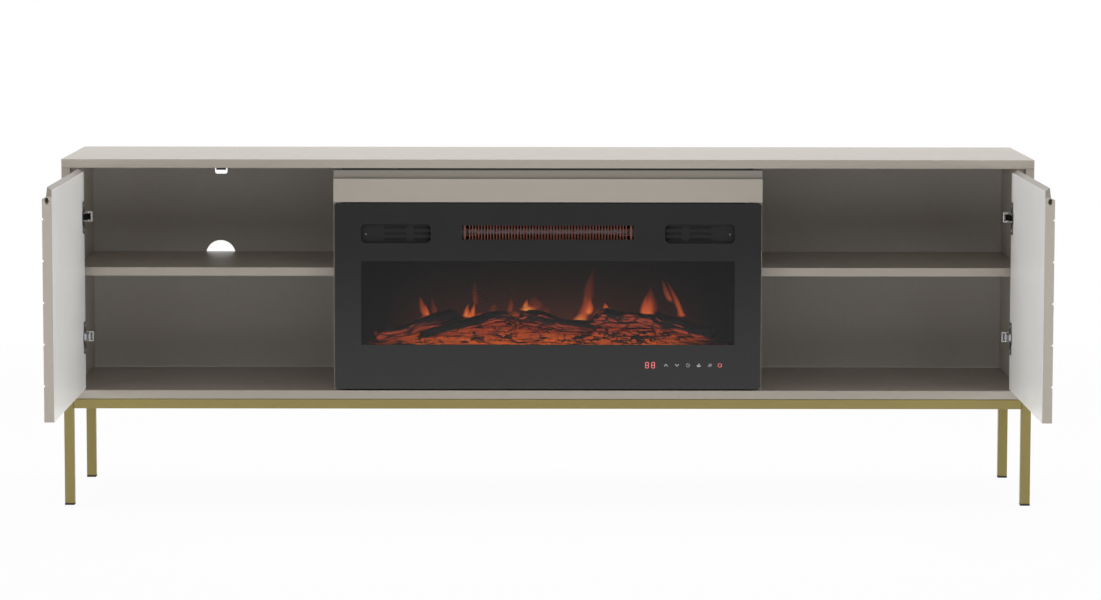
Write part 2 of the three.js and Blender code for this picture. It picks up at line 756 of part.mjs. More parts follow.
// Glass sheet and the folded steel tray that carries it
function buildFireFront() {
  const glass = roundedOutline(-glassReach, glassReach, glassBottom, glassTop, glassCorner);
  glass.holes.push(ventOutline(-1, 0, THREE.Path), ventOutline(1, 0, THREE.Path));
  glass.holes.push(outletOutline(0, THREE.Path));
  addPiece('front_glass', run(glass, 'y', frontY, frontY + glassThickness), 'blackGlass');

  const reach = glassReach - frameInset;
  const low = glassBottom + frameInset;
  const high = glassTop - frameInset;
  const inner = glassCorner - frameInset;
  const plate = roundedOutline(-reach, reach, low, high, inner);
  plate.holes.push(ventOutline(-1, ventSheet + seat, THREE.Path));
  plate.holes.push(ventOutline(1, ventSheet + seat, THREE.Path));
  plate.holes.push(outletOutline(grilleBar + seat, THREE.Path));
  plate.holes.push(roundedOutline(-windowWidth / 2, windowWidth / 2, windowLow, windowHigh,
    outletCorner, THREE.Path));
  const rim = roundedOutline(-reach, reach, low, high, inner);
  rim.holes.push(roundedOutline(-reach + frameSheet, reach - frameSheet, low + frameSheet,
    high - frameSheet, inner - frameSheet, THREE.Path));
  addPiece('front_frame', join(
    run(plate, 'y', frameFront, frameBack),
    run(rim, 'y', frameFront, frameFront + frameDepth),
  ), 'blackSheet');

  const trayFloor = frameFront + ventRecess;
  const tray = run(ventOutline(-1, ventSheet), 'y', frameFront, trayFloor + ventSheet);
  const hollow = run(ventOutline(-1, 0), 'y', frameFront - overrun, trayFloor);
  const slots = [];
  const inboard = -ventOffset + ventWidth / 2;
  for (const row of [-1, 0, 1]) {
    const z = ventZ + row * louvrePitch;
    for (const [x1, length] of [[inboard, louvreShort],
      [inboard - louvreShort - louvreBridge, louvreLong]]) {
      slots.push(block(x1 - length, x1, trayFloor - overrun, trayFloor + ventSheet + overrun,
        z - louvreHeight / 2, z + louvreHeight / 2));
    }
  }
  addPair('vent_louvre', cut(tray, hollow, ...slots), 'blackSheet');
}

const caseTop = glassTop - frameInset - frameSheet - seat * 2;
const caseBottom = floorTop + seat + casePadHeight;
const caseReach = dividerInner - caseSideGap;
const caseFront = frameBack + seat;
const caseBack = caseFront + caseDepth;
const fireboxReach = windowWidth / 2 + fireboxMargin;
const fireboxLow = windowLow - fireboxMargin;
const fireboxHigh = windowHigh + fireboxMargin;
const fireboxBack = caseFront + fireboxDepth;
const spindleY = fireboxBack + screenThickness + spindleBehindScreen;
const spindleZ = fireboxLow + spindleRise;

// Folded steel case, open towards the front, standing on rubber pads
function buildCase() {
  const reach = caseReach;
  const shell = block(-reach, reach, caseFront, caseBack, caseBottom, caseTop);
  const inside = block(-reach + caseSheet, reach - caseSheet, caseFront - overrun,
    caseBack - caseSheet, caseBottom + caseSheet, caseTop - caseSheet);
  const padLength = casePadHeight + caseSheet / 2;
  const pads = [];
  for (const x of [-reach + casePadInset, reach - casePadInset]) {
    for (const y of [caseFront + casePadInset, caseBack - casePadInset]) {
      pads.push(bar(casePadRadius, padLength, 'z', x, y, floorTop + seat));
    }
  }
  const w = spindleBracketWidth / 2;
  const bearing = block(-reach + caseSheet / 2, -reach + caseSheet + bearingDepth, spindleY - w, spindleY + w,
    spindleZ - w, spindleZ + w);
  const bore = bar(spindleRadius + seat, bearingDepth + overrun, 'x', -reach + caseSheet, spindleY,
    spindleZ);
  addPiece('fire_case', join(cut(join(cut(shell, inside), bearing), bore), ...pads), 'darkSteel');

  const gland = [
    [0, 0], [glandRadius + glandFlange, 0], [glandRadius + glandFlange, glandFlange],
    [glandRadius, glandFlange], [glandTipRadius, glandLength], [glandBore, glandLength],
    [glandBore, glandFlange], [0, glandFlange],
  ].map(([r, l]) => new THREE.Vector2(r, l));
  const relief = new THREE.LatheGeometry(gland, barSides);
  relief.translate(reach - glandInset, caseBack + seat, caseBottom + glandRise);
  addPiece('cord_gland', relief, 'blackPlastic');
}

// Open steel sleeve behind the window and the smoked screen that closes its back
function buildFirebox() {
  const sleeve = outline([
    [-fireboxReach, fireboxLow], [fireboxReach, fireboxLow],
    [fireboxReach, fireboxHigh], [-fireboxReach, fireboxHigh],
  ]);
  const s = fireboxSheet;
  const inner = [
    [-fireboxReach + s, fireboxLow + s], [-fireboxReach + s, fireboxHigh - s],
    [fireboxReach - s, fireboxHigh - s], [fireboxReach - s, fireboxLow + s],
  ];
  sleeve.holes.push(new THREE.Path(inner.map(([a, b]) => new THREE.Vector2(a, b))));
  addPiece('firebox', run(sleeve, 'y', caseFront, fireboxBack), 'blackSheet');
  addPiece('flame_screen', block(-fireboxReach, fireboxReach, fireboxBack + seat,
    fireboxBack + seat + screenThickness, fireboxLow, fireboxHigh), 'screen');
}

// Relief of the ember bed: rises to the back in lumps
function emberHeight(across, back) {
  const turn = 2 * Math.PI;
  const slope = emberRise * back * (1 - emberSwellShare * Math.cos(turn * emberSwells * across));
  const lumps = Math.sin(turn * lumpWaves * across)
    * Math.cos(turn * (lumpBackWaves * back + lumpSkewWaves * across));
  const crumbs = Math.sin(turn * (crumbWaves * across + crumbBackWaves * back));
  return emberBase + slope + emberLump * (1 + (lumps + crumbs) / 2);
}

// Closed block whose top follows a height formula over its width and depth
function reliefBlock(x0, x1, y0, y1, z0, heightOf, columns, rows) {
  const positions = [];
  const index = [];
  const at = (i, j, layer) => layer * (columns + 1) * (rows + 1) + j * (columns + 1) + i;
  for (const layer of [0, 1]) {
    for (let j = 0; j <= rows; j += 1) {
      for (let i = 0; i <= columns; i += 1) {
        const rise = layer ? heightOf(i / columns, j / rows) : 0;
        positions.push(x0 + (x1 - x0) * i / columns, y0 + (y1 - y0) * j / rows, z0 + rise);
      }
    }
  }
  const quad = (a, b, c, d) => index.push(a, b, c, a, c, d);
  for (let j = 0; j < rows; j += 1) {
    for (let i = 0; i < columns; i += 1) {
      quad(at(i, j, 1), at(i + 1, j, 1), at(i + 1, j + 1, 1), at(i, j + 1, 1));
      quad(at(i, j, 0), at(i, j + 1, 0), at(i + 1, j + 1, 0), at(i + 1, j, 0));
    }
  }
  for (let i = 0; i < columns; i += 1) {
    quad(at(i, 0, 0), at(i + 1, 0, 0), at(i + 1, 0, 1), at(i, 0, 1));
    quad(at(i + 1, rows, 0), at(i, rows, 0), at(i, rows, 1), at(i + 1, rows, 1));
  }
  for (let j = 0; j < rows; j += 1) {
    quad(at(0, j + 1, 0), at(0, j, 0), at(0, j, 1), at(0, j + 1, 1));
    quad(at(columns, j, 0), at(columns, j + 1, 0), at(columns, j + 1, 1), at(columns, j, 1));
  }
  const geometry = new THREE.BufferGeometry();
  geometry.setAttribute('position', new THREE.BufferAttribute(new Float32Array(positions), 3));
  geometry.setIndex(index);
  geometry.computeVertexNormals();
  return geometry;
}

// Each log: places of its two ends as shares of the firebox width, the bed's depth and the
// height of the stack, and its girth
const logShares = [
  [-0.45, 0.55, 0.42, -0.25, 0.64, 0.9, 0.95],
  [-0.335, 0.36, 0.37, -0.1, 0.62, 0.96, 1.0],
  [-0.09, 0.66, 0.98, 0.115, 0.36, 0.37, 1.05],
  [0.115, 0.72, 0.96, 0.26, 0.56, 0.82, 1.1],
  [0.25, 0.6, 0.88, 0.405, 0.36, 0.35, 0.95],
];

// Tapered, knotty stick between two points
function logBetween(from, to, radius, phase) {
  const length = from.distanceTo(to);
  const stick = new THREE.CylinderGeometry(radius * logTipShare, radius, length, logSides, logRings);
  const position = stick.attributes.position;
  for (let i = 0; i < position.count; i += 1) {
    const along = position.getY(i) / length;
    const angle = Math.atan2(position.getZ(i), position.getX(i));
    const ridge = Math.sin(logRidges * angle + phase + 2 * Math.PI * logTwist * along);
    const knot = Math.sin(2 * Math.PI * logKnots * along + phase);
    const swell = 1 + logRidgeShare * ridge + logKnotShare * knot;
    position.setX(i, position.getX(i) * swell);
    position.setZ(i, position.getZ(i) * swell);
  }
  const turn = new THREE.Quaternion().setFromUnitVectors(
    new THREE.Vector3(0, 1, 0), to.clone().sub(from).normalize());
  stick.applyQuaternion(turn);
  const middle = from.clone().add(to).multiplyScalar(0.5);
  stick.translate(middle.x, middle.y, middle.z);
  return stick;
}

// One resin moulding: the ember bed and the logs that lie on it and lean on each other
function buildFuelBed() {
  const bedFloor = fireboxLow + fireboxSheet + seat;
  const bedReach = windowWidth / 2 - emberEndGap;
  const bed = reliefBlock(-bedReach, bedReach, caseFront + overrun,
    caseFront + overrun + emberDepth, bedFloor, emberHeight, emberColumns, emberRows);
  const width = 2 * fireboxReach;
  const logs = logShares.map(([x0, y0, z0, x1, y1, z1, girth], i) => logBetween(
    new THREE.Vector3(width * x0, caseFront + emberDepth * y0, fireboxLow + logStackHeight * z0),
    new THREE.Vector3(width * x1, caseFront + emberDepth * y1, fireboxLow + logStackHeight * z1),
    logRadius * girth, i * logTurn));
  addPiece('fuel_bed', join(bed, ...logs), 'ember');
}

// Turning spindle with foil flags that throws the flame light, its motor and bearing
function buildFlameDrive() {
  const axisY = spindleY;
  const axisZ = spindleZ;
  const wall = caseReach - caseSheet;
  const motorX = wall - seat - motorLength;
  const start = -wall + seat;
  const rod = bar(spindleRadius, motorX - seat - start, 'x', start, axisY, axisZ, pinSides);
  const flagStart = start + bearingDepth;
  const pitch = (motorX - flagStart) / (flagCount + 1);
  const flags = [];
  for (let i = 1; i <= flagCount; i += 1) {
    const flag = new THREE.BoxGeometry(flagLength, 2 * flagReach, flagThickness);
    flag.rotateX(i * flagTurn);
    flag.translate(flagStart + i * pitch, axisY, axisZ);
    flags.push(flag);
  }
  addPiece('flame_spindle', join(rod, ...flags), 'mirrorFoil');

  const motor = bar(motorRadius, motorLength, 'x', motorX, axisY, axisZ, discSides);
  addPiece('spindle_motor', motor, 'steel');

  const stripY = caseBack - caseSheet - seat - ledStripThickness;
  const reach = fireboxReach - overrun;
  const strip = block(-reach, reach, stripY, stripY + ledStripThickness, axisZ - ledStripHeight / 2,
    axisZ + ledStripHeight / 2);
  const lamps = [];
  for (let i = 0; i < ledCount; i += 1) {
    const x = -reach + (i + 0.5) * 2 * reach / ledCount;
    lamps.push(block(x - ledSize / 2, x + ledSize / 2, stripY - ledStripThickness,
      stripY + ledStripThickness / 2, axisZ - ledSize / 2, axisZ + ledSize / 2));
  }
  addPiece('led_strip', join(strip, ...lamps), 'circuit');
}

// Heater behind the upper outlet: grille, trough reflector, quartz tube, duct and cross-flow fan
function buildHeater() {
  const reach = outletWidth / 2;
  const low = outletZ - outletHeight / 2;
  const high = outletZ + outletHeight / 2;
  const grilleBack = frameFront + grilleDepth;
  const ring = outletOutline(grilleBar);
  ring.holes.push(roundedOutline(-reach + grilleTab, reach - grilleTab, low + grilleBar, high - grilleBar,
    outletCorner / 2, THREE.Path));
  const span = 2 * (reach - grilleTab);
  const wires = [];
  for (let i = 0; i < wireCount; i += 1) {
    const x = -reach + grilleTab + (i + 0.5) * span / wireCount;
    const wire = new THREE.CylinderGeometry(wireThickness / 2, wireThickness / 2,
      outletHeight - grilleBar, 4);
    wire.rotateX(Math.PI / 2);
    wire.translate(x, frameFront + grilleDepth / 2, outletZ);
    wires.push(wire);
  }
  addPiece('heater_grille', join(run(ring, 'y', frameFront, grilleBack), ...wires), 'rustWire');

  const ductReach = reach + ductMargin;
  const ductFront = frameBack + seat;
  const ductLow = outletZ - ductHeight / 2;
  const ductHigh = outletZ + ductHeight / 2;
  const s = ductSheet;
  const shell = block(-ductReach, ductReach, ductFront, ductFront + ductDepth, ductLow, ductHigh);
  const inside = block(-ductReach + s, ductReach - s, ductFront - overrun, ductFront + ductDepth - s,
    ductLow + s, ductHigh - s);
  const fanY = ductFront + ductDepth - s - blowerGap - blowerRadius;
  const intake = block(-ductReach + ductMargin, ductReach - ductMargin, fanY - blowerRadius / 2,
    fanY + blowerRadius / 2, ductHigh - overrun, ductHigh + overrun);
  const shaftHole = bar(blowerHub + seat, 2 * ductReach + 2 * overrun, 'x', -ductReach - overrun, fanY,
    outletZ);
  addPiece('heater_duct', cut(shell, inside, intake, shaftHole), 'steel');

  const troughFront = frameBack + reflectorGap;
  const inner = outletHeight / 2;
  const trough = [];
  for (let i = 0; i <= arcSteps; i += 1) {
    const a = -Math.PI / 2 + Math.PI * i / arcSteps;
    trough.push([troughFront + Math.cos(a) * reflectorDepth, outletZ + Math.sin(a) * inner]);
  }
  for (let i = arcSteps; i >= 0; i -= 1) {
    const a = -Math.PI / 2 + Math.PI * i / arcSteps;
    trough.push([troughFront + Math.cos(a) * (reflectorDepth + reflectorSheet),
      outletZ + Math.sin(a) * (inner + reflectorSheet)]);
  }
  const troughReach = ductReach - s - seat;
  addPiece('heater_reflector', run(outline(trough), 'x', -troughReach, troughReach), 'mirrorFoil');

  const tubeY = troughFront + quartzStandoff;
  const halfTube = troughReach;
  const tube = bar(quartzRadius, 2 * halfTube - quartzCapLength, 'x', -halfTube + quartzCapLength / 2,
    tubeY, outletZ);
  const caps = [-halfTube, halfTube - quartzCapLength].map((x) => bar(quartzCapRadius, quartzCapLength,
    'x', x, tubeY, outletZ));
  addPiece('quartz_tube', join(tube, ...caps), 'quartz');

  const wheelReach = ductReach - s - 2 * blowerGap;
  const wheel = [bar(blowerHub, 2 * (ductReach + seat), 'x', -ductReach - seat, fanY, outletZ)];
  for (const x of [-wheelReach, -blowerDisc / 2, wheelReach - blowerDisc]) {
    wheel.push(bar(blowerRadius, blowerDisc, 'x', x, fanY, outletZ, discSides));
  }
  for (let i = 0; i < blowerBladeCount; i += 1) {
    const blade = block(-wheelReach + blowerDisc / 2, wheelReach - blowerDisc / 2,
      -blowerBladeThickness / 2, blowerBladeThickness / 2,
      blowerRadius - blowerBladeWidth, blowerRadius - seat);
    blade.rotateX(2 * Math.PI * i / blowerBladeCount);
    blade.translate(0, fanY, outletZ);
    wheel.push(blade);
  }
  addPiece('blower_wheel', join(...wheel), 'darkSteel');
  addPiece('blower_motor', bar(blowerMotorRadius, blowerMotorLength, 'x', ductReach + 2 * seat, fanY,
    outletZ, discSides), 'steel');
}

// Touch control circuit behind the lower right of the glass
function buildControls() {
  const x1 = windowWidth / 2 - controlsInset + displayWidth;
  const x0 = x1 - boardWidth;
  const z = glassBottom + controlsRise;
  const y0 = frameBack + circuitStandoff;
  const board = block(x0, x1, y0, y0 + circuitThickness, z - boardHeight / 2, z + boardHeight / 2);
  const parts = [board];
  for (const x of [x0 + standoffInset, x1 - standoffInset]) {
    for (const side of [-1, 1]) {
      parts.push(bar(standoffRadius, circuitStandoff + circuitThickness / 2 - seat, 'y', x,
        frameBack + seat, z + side * (boardHeight / 2 - standoffInset), pinSides));
    }
  }
  const x = x0 + standoffInset + displayWidth;
  parts.push(block(x - displayWidth / 2, x + displayWidth / 2, frameBack + seat,
    y0 + circuitThickness / 2, z - displayHeight / 2, z + displayHeight / 2));
  addPiece('control_board', join(...parts), 'circuit');
}

buildCarcass();
buildShelves();
buildWallBracket();
buildBase();
buildDoors();
buildHingeArms();
buildHingeLinks();
buildFascia();
buildFireFront();
buildCase();
buildFirebox();
buildFuelBed();
buildFlameDrive();
buildHeater();
buildControls();

export default group;
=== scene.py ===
"""Fireplace TV stand: finishes and fine pieces around the packed frame.

Each operator makes one piece or one group of like pieces. Lengths are in metres where nothing else
is said. The floor is at z = 0, +X runs to the right along the cabinet, and its front faces -Y.
"""

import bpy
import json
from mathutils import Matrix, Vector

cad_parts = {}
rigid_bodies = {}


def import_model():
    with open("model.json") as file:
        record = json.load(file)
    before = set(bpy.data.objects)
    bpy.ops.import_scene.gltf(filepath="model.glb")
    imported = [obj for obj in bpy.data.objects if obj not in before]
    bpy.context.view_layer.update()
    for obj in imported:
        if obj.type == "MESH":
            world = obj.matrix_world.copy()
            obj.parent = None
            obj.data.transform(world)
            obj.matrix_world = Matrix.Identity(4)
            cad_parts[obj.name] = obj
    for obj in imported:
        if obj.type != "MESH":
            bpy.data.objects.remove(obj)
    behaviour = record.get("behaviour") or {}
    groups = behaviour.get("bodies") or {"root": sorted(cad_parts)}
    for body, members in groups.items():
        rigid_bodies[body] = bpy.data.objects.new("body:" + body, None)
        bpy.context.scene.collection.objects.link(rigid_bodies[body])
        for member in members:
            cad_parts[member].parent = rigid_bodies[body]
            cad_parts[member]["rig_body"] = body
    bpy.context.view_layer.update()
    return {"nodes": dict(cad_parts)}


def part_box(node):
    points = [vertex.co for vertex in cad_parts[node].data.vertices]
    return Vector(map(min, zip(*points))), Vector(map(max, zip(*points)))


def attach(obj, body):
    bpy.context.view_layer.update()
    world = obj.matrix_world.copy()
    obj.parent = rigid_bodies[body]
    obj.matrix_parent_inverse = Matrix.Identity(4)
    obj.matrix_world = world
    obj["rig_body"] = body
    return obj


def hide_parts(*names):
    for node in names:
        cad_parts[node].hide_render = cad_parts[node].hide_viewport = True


bl_info = {
    "name": "Fireplace TV Stand",
    "version": (1, 0, 0),
    "blender": (4, 5, 0),
    "location": "View3D > Sidebar > TV Stand",
    "description": "Low cabinet with grooved doors, gold tube base and electric fireplace",
    "category": "Add Mesh",
}

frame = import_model()

import json
import math

import bmesh
import bpy
from bpy.props import FloatProperty, FloatVectorProperty, IntProperty, PointerProperty
from mathutils import Matrix, Vector, noise

MM = 0.001
SIDES = ("left", "right")

# A mask's edge is this soft, and it reaches this far past the face that it covers
CRISP = 0.05 * MM
MARGIN = 0.3 * MM

# The milled finger pull: how far back and down its face is darkened as painted shade, the height of
# the near-black painted shadow band above it, where the lip's top lies on the solids, and how much
# higher the fascia's lip is
PULL_DEPTH = 6.6 * MM
PULL_HEIGHT = 22.0 * MM
PAINTED_SHADOW_BAND = 3.0 * MM
LIP_DROP = 23.0 * MM
LIP_RISE = 3.4 * MM

# How much lower the cable hole is than on the solid, whose notch and its rim are this deep
CABLE_HOLE_SHIFT = 16.4 * MM
NOTCH_DEPTH = 60 * MM


# Node materials

class Term:
    """A number socket that Python's arithmetic turns into Math nodes."""

    def __init__(self, nodes, socket):
        self.nodes = nodes
        self.socket = socket

    def __add__(self, other):
        return self.nodes.maths("ADD", self, other)

    def __sub__(self, other):
        return self.nodes.maths("SUBTRACT", self, other)

    def __rsub__(self, other):
        return self.nodes.maths("SUBTRACT", other, self)

    def __neg__(self):
        return 0.0 - self

    def __mul__(self, other):
        return self.nodes.maths("MULTIPLY", self, other)

    def __pow__(self, other):
        return self.nodes.maths("POWER", self, other)

    def __abs__(self):
        return self.nodes.maths("ABSOLUTE", self)

    __radd__ = __add__
    __rmul__ = __mul__

    def clamped(self):
        """The number held between 0 and 1."""
        term = self + 0.0
        term.socket.node.use_clamp = True
        return term

    def above(self, level, softness=CRISP):
        """0 below the level and 1 above it, over a band of the given softness."""
        return ((self - level) * (1.0 / softness) + 0.5).clamped()


class Nodes:
    """A node tree whose sockets take numbers, colours and links."""

    def __init__(self, tree):
        self.tree = tree

    def node(self, kind, settings=None, values=None):
        """A node of one kind: its settings are made first, then its sockets get values or links."""
        made = self.tree.nodes.new(kind)
        for key, setting in (settings or {}).items():
            setattr(made, key, setting)
        for key, value in (values or {}).items():
            self.feed(made.inputs[key], value)
        return made

    def feed(self, socket, value):
        """Links a socket, or sets its number or colour."""
        if isinstance(value, Term):
            value = value.socket
        if isinstance(value, bpy.types.NodeSocket):
            self.tree.links.new(value, socket)
        elif socket.type == "RGBA":
            socket.default_value = (*value[:3], 1.0)
        else:
            socket.default_value = value

    def maths(self, operation, *values):
        made = self.node("ShaderNodeMath", {"operation": operation}, dict(enumerate(values)))
        return Term(self, made.outputs[0])

    def rays(self, *kinds):
        """1 for rays of the named kinds and 0 for the rest."""
        path = self.node("ShaderNodeLightPath").outputs
        mask = Term(self, path[kinds[0]])
        for kind in kinds[1:]:
            mask = self.maths("MAXIMUM", mask, path[kind])
        return mask


class Finish(Nodes):
    """One material around one shader, whose sockets are named with underscores for spaces."""

    def __init__(self, name, slot=None, **constants):
        self.material = bpy.data.materials.new(name)
        self.material.use_nodes = True
        super().__init__(self.material.node_tree)
        self.tree.nodes.clear()
        self.slot = slot
        self.shader = self.node("ShaderNodeBsdfPrincipled")
        self.surface(**constants)
        self.output = self.node("ShaderNodeOutputMaterial",
                                values={"Surface": self.shader.outputs[0]})
        self.place = self.node("ShaderNodeTexCoord").outputs["Object"]

    def surface(self, **inputs):
        """Feeds the shader's sockets."""
        for name, value in inputs.items():
            self.feed(self.shader.inputs[name.replace("_", " ")], value)

    def mix(self, factor, first, second):
        """A colour between two colours."""
        mixed = self.node("ShaderNodeMix", {"data_type": "RGBA"}, {0: factor, 6: first, 7: second})
        return mixed.outputs[2]

    def tone(self, factor, colour, dark, light):
        """One colour, made darker or lighter between two amounts."""
        return self.mix(factor, shade(colour, dark), shade(colour, light))

    def axes(self, vector=None):
        """The three coordinates of a place as numbers."""
        parts = self.node("ShaderNodeSeparateXYZ", values={0: vector or self.place})
        return [Term(self, socket) for socket in parts.outputs]

    def stretched(self, scale, vector=None):
        """A place, with each axis scaled by its own amount."""
        return self.node("ShaderNodeMapping", values={"Vector": vector or self.place,
                                                      "Scale": scale}).outputs[0]

    def noise(self, scale, detail=2.0, roughness=0.5, distortion=0.0, stretch=None, vector=None):
        if stretch:
            vector = self.stretched(stretch, vector)
        cloud = self.node("ShaderNodeTexNoise", values={
            "Vector": vector or self.place, "Scale": scale, "Detail": detail,
            "Roughness": roughness, "Distortion": distortion})
        return Term(self, cloud.outputs[0])

    def cells(self, scale, feature="DISTANCE_TO_EDGE", stretch=None, vector=None):
        if stretch:
            vector = self.stretched(stretch, vector)
        cell = self.node("ShaderNodeTexVoronoi", {"feature": feature},
                         {"Vector": vector or self.place, "Scale": scale})
        return Term(self, cell.outputs["Distance"])

    def layer(self, name, output="Vector"):
        """What a layer of the mesh holds at each point."""
        return self.node("ShaderNodeAttribute", {"attribute_name": name}).outputs[output]

    def relief(self, height, depth, strength=1.0):
        """Bump of a height from 0 to 1 over a depth in metres."""
        bump = self.node("ShaderNodeBump", values={
            "Strength": strength, "Distance": depth, "Height": height})
        self.surface(Normal=bump.outputs[0])


def shade(colour, amount):
    """A colour made lighter or darker."""
    return tuple(min(1.0, part * amount) for part in colour[:3])


def grey(level):
    return (level, level, level)


# Shapes

def add_block(form, low, high, rounding):
    """An upright block between two corners, with its edges rounded."""
    low, high = Vector(low), Vector(high)
    block = bmesh.ops.create_cube(form, size=1.0)["verts"]
    bmesh.ops.scale(form, vec=high - low, verts=block)
    bmesh.ops.translate(form, vec=(low + high) / 2, verts=block)
    edges = list({edge for vert in block for edge in vert.link_edges})
    bmesh.ops.bevel(form, geom=edges, offset=rounding, affect="EDGES", segments=2, profile=0.5,
                    material=-1)


def turn_to(axis):
    """The turn that takes the Z axis to another."""
    return Vector((0, 0, 1)).rotation_difference(Vector(axis)).to_matrix().to_4x4()


def aimed(start, end):
    """The place of a unit that stands along Z, laid from one point to another."""
    start, end = Vector(start), Vector(end)
    return Matrix.Translation((start + end) / 2) @ turn_to(end - start)


def add_rod(form, start, end, radius, sides=10):
    """A round rod with closed ends."""
    bmesh.ops.create_cone(form, cap_ends=True, cap_tris=False, segments=sides, radius1=radius,
                          radius2=radius, depth=(Vector(end) - Vector(start)).length,
                          matrix=aimed(start, end))


def add_turned(form, profile, foot, axis, sides=24):
    """A solid of revolution: the profile's (radius, height) points are spun about an axis."""
    others = set(form.verts)
    verts = [form.verts.new((radius, 0, height)) for radius, height in profile]
    edges = [form.edges.new(pair) for pair in zip(verts, verts[1:])]
    bmesh.ops.spin(form, geom=verts + edges, cent=(0, 0, 0), axis=(0, 0, 1), angle=2 * math.pi,
                   steps=sides, use_merge=True)
    made = [vert for vert in form.verts if vert not in others]
    bmesh.ops.remove_doubles(form, verts=made, dist=1e-7)
    made = [vert for vert in made if vert.is_valid]
    faces = list({face for vert in made for face in vert.link_faces})
    bmesh.ops.recalc_face_normals(form, faces=faces)
    bmesh.ops.transform(form, matrix=Matrix.Translation(foot) @ turn_to(axis), verts=made)


def add_swept(form, lines, radius, resolution=2):
    """Round wire along lines of points."""
    curve = bpy.data.curves.new("swept", "CURVE")
    curve.dimensions = "3D"
    curve.bevel_depth = radius
    curve.bevel_resolution = resolution
    curve.use_fill_caps = True
    for line in lines:
        spline = curve.splines.new("POLY")
        spline.points.add(len(line) - 1)
        for point, place in zip(spline.points, line):
            point.co = (*place, 1)
    drawn = bpy.data.objects.new("swept", curve)
    bpy.context.scene.collection.objects.link(drawn)
    bpy.context.view_layer.update()
    form.from_mesh(drawn.to_mesh())
    drawn.to_mesh_clear()
    bpy.data.objects.remove(drawn)


def new_object(name, form, finish):
    """Turns a bmesh into an object with one finish."""
    mesh = bpy.data.meshes.new(name)
    form.to_mesh(mesh)
    form.free()
    mesh.materials.append(finish.material)
    made = bpy.data.objects.new(name, mesh)
    bpy.context.scene.collection.objects.link(made)
    return made


def new_piece(name, form, finish, body="cabinet", replaces=(), smooth_angle=32.0):
    """Turns a bmesh into a finished piece that rides on a body."""
    piece = new_object(name, form, finish)
    piece.data.shade_smooth()
    piece.data.set_sharp_from_angle(angle=math.radians(smooth_angle))
    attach(piece, body)
    if replaces:
        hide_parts(*replaces)
    return piece


def eased_copy(node, finish, easing, reshape=None):
    """A copy of a frame node with its outer edges rounded, which stands for it. A function given
    as reshape moves some of the copy's points first."""
    form = bmesh.new()
    form.from_mesh(frame["nodes"][node].data)
    bmesh.ops.remove_doubles(form, verts=form.verts, dist=1e-6)
    bmesh.ops.dissolve_limit(form, angle_limit=math.radians(0.5), verts=form.verts,
                             edges=form.edges, use_dissolve_boundaries=False)
    if reshape:
        reshape(form)
    least_turn = math.radians(40.0)
    outer = [edge for edge in form.edges
             if edge.is_manifold and edge.is_convex and edge.calc_face_angle() > least_turn]
    bmesh.ops.bevel(form, geom=outer, offset=easing, offset_type="OFFSET", affect="EDGES",
                    segments=2, profile=0.5, material=-1, clamp_overlap=True)
    body = frame["nodes"][node]["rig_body"]
    piece = new_piece(node + "_finished", form, finish, body, replaces=[node])
    piece.modifiers.new("flat_faces", "WEIGHTED_NORMAL").keep_sharp = True


def dress(finish, *nodes):
    """Gives frame nodes whose shape is right a better material."""
    for node in nodes:
        for holder in frame["nodes"][node].material_slots:
            holder.material = finish.material


# Finishes

def lacquer_finish(name, colour, inner_colour=None, inner_reach=0.0, depth_of=None, top=0.0,
                   gloss=0.5):
    """Sprayed satin lacquer on fibreboard: slight clouding and fine orange peel. Faces nearer to
    the middle than the inner reach take the inner colour, which on the side panels is painted
    shade.
    depth_of gives how far a place is behind the outer face, for painted shade on the milled pull
    below the top, with a near-black painted shadow band at its top."""
    finish = Finish(name, "lacquer", Specular_IOR_Level=gloss)
    cloud = finish.noise(2.4, detail=3.0)
    speck = finish.noise(1500.0, detail=1.0)
    base = finish.tone(cloud, colour, 0.965, 1.03)
    across, _, up = finish.axes()
    if depth_of:
        # Painted shade: the milled pull's face is darkened, and a band at its top is painted near
        # black as a shadow.
        painted_recess_shade = depth_of(finish).above(PULL_DEPTH) * up.above(top - PULL_HEIGHT)
        base = finish.mix(painted_recess_shade, base, shade(colour, 0.62))
        base = finish.mix(painted_recess_shade * up.above(top - PAINTED_SHADOW_BAND), base, shade(colour, 0.05))
    if inner_colour:
        inside = 1.0 - abs(across).above(inner_reach)
        base = finish.mix(inside, base, finish.tone(cloud, inner_colour, 0.98, 1.0))
    base = finish.mix(speck.above(0.7, 0.1) * 0.12, base, shade(colour, 0.8))
    finish.surface(Base_Color=base, Roughness=0.3 + finish.noise(30.0, detail=4.0) * 0.12)
    finish.relief(finish.noise(420.0) * 0.8 + speck * 0.2, 0.03 * MM, 0.5)
    return finish


def back_board_finish(colour):
    """Faced hardboard: matt, with short fibres pressed into the face."""
    finish = Finish("back_board", "back_board")
    fibre = finish.noise(90.0, detail=5.0, roughness=0.7, stretch=(1.0, 1.0, 0.25))
    cloud = finish.noise(3.0)
    finish.surface(Base_Color=finish.tone(fibre * 0.5 + cloud * 0.5, colour, 0.9, 1.1),
                   Roughness=0.55 + fibre * 0.2)
    finish.relief(fibre, 0.08 * MM, 0.5)
    return finish


def gold_finish(colour):
    """Satin gold metallic coat on steel tube: fine flakes and a slight spray texture."""
    finish = Finish("satin_gold", "gold")
    flake = finish.cells(2600.0, feature="F1")
    peel = finish.noise(500.0)
    cloud = finish.noise(6.0, detail=3.0)
    finish.surface(Base_Color=finish.tone((flake * 0.5 + cloud * 0.5).clamped(), colour, 0.9, 1.08),
                   Metallic=0.3 + flake * 0.16, Roughness=0.36 + peel * 0.14)
    finish.relief(peel * 0.7 + flake * 0.3, 0.03 * MM, 0.6)
    return finish


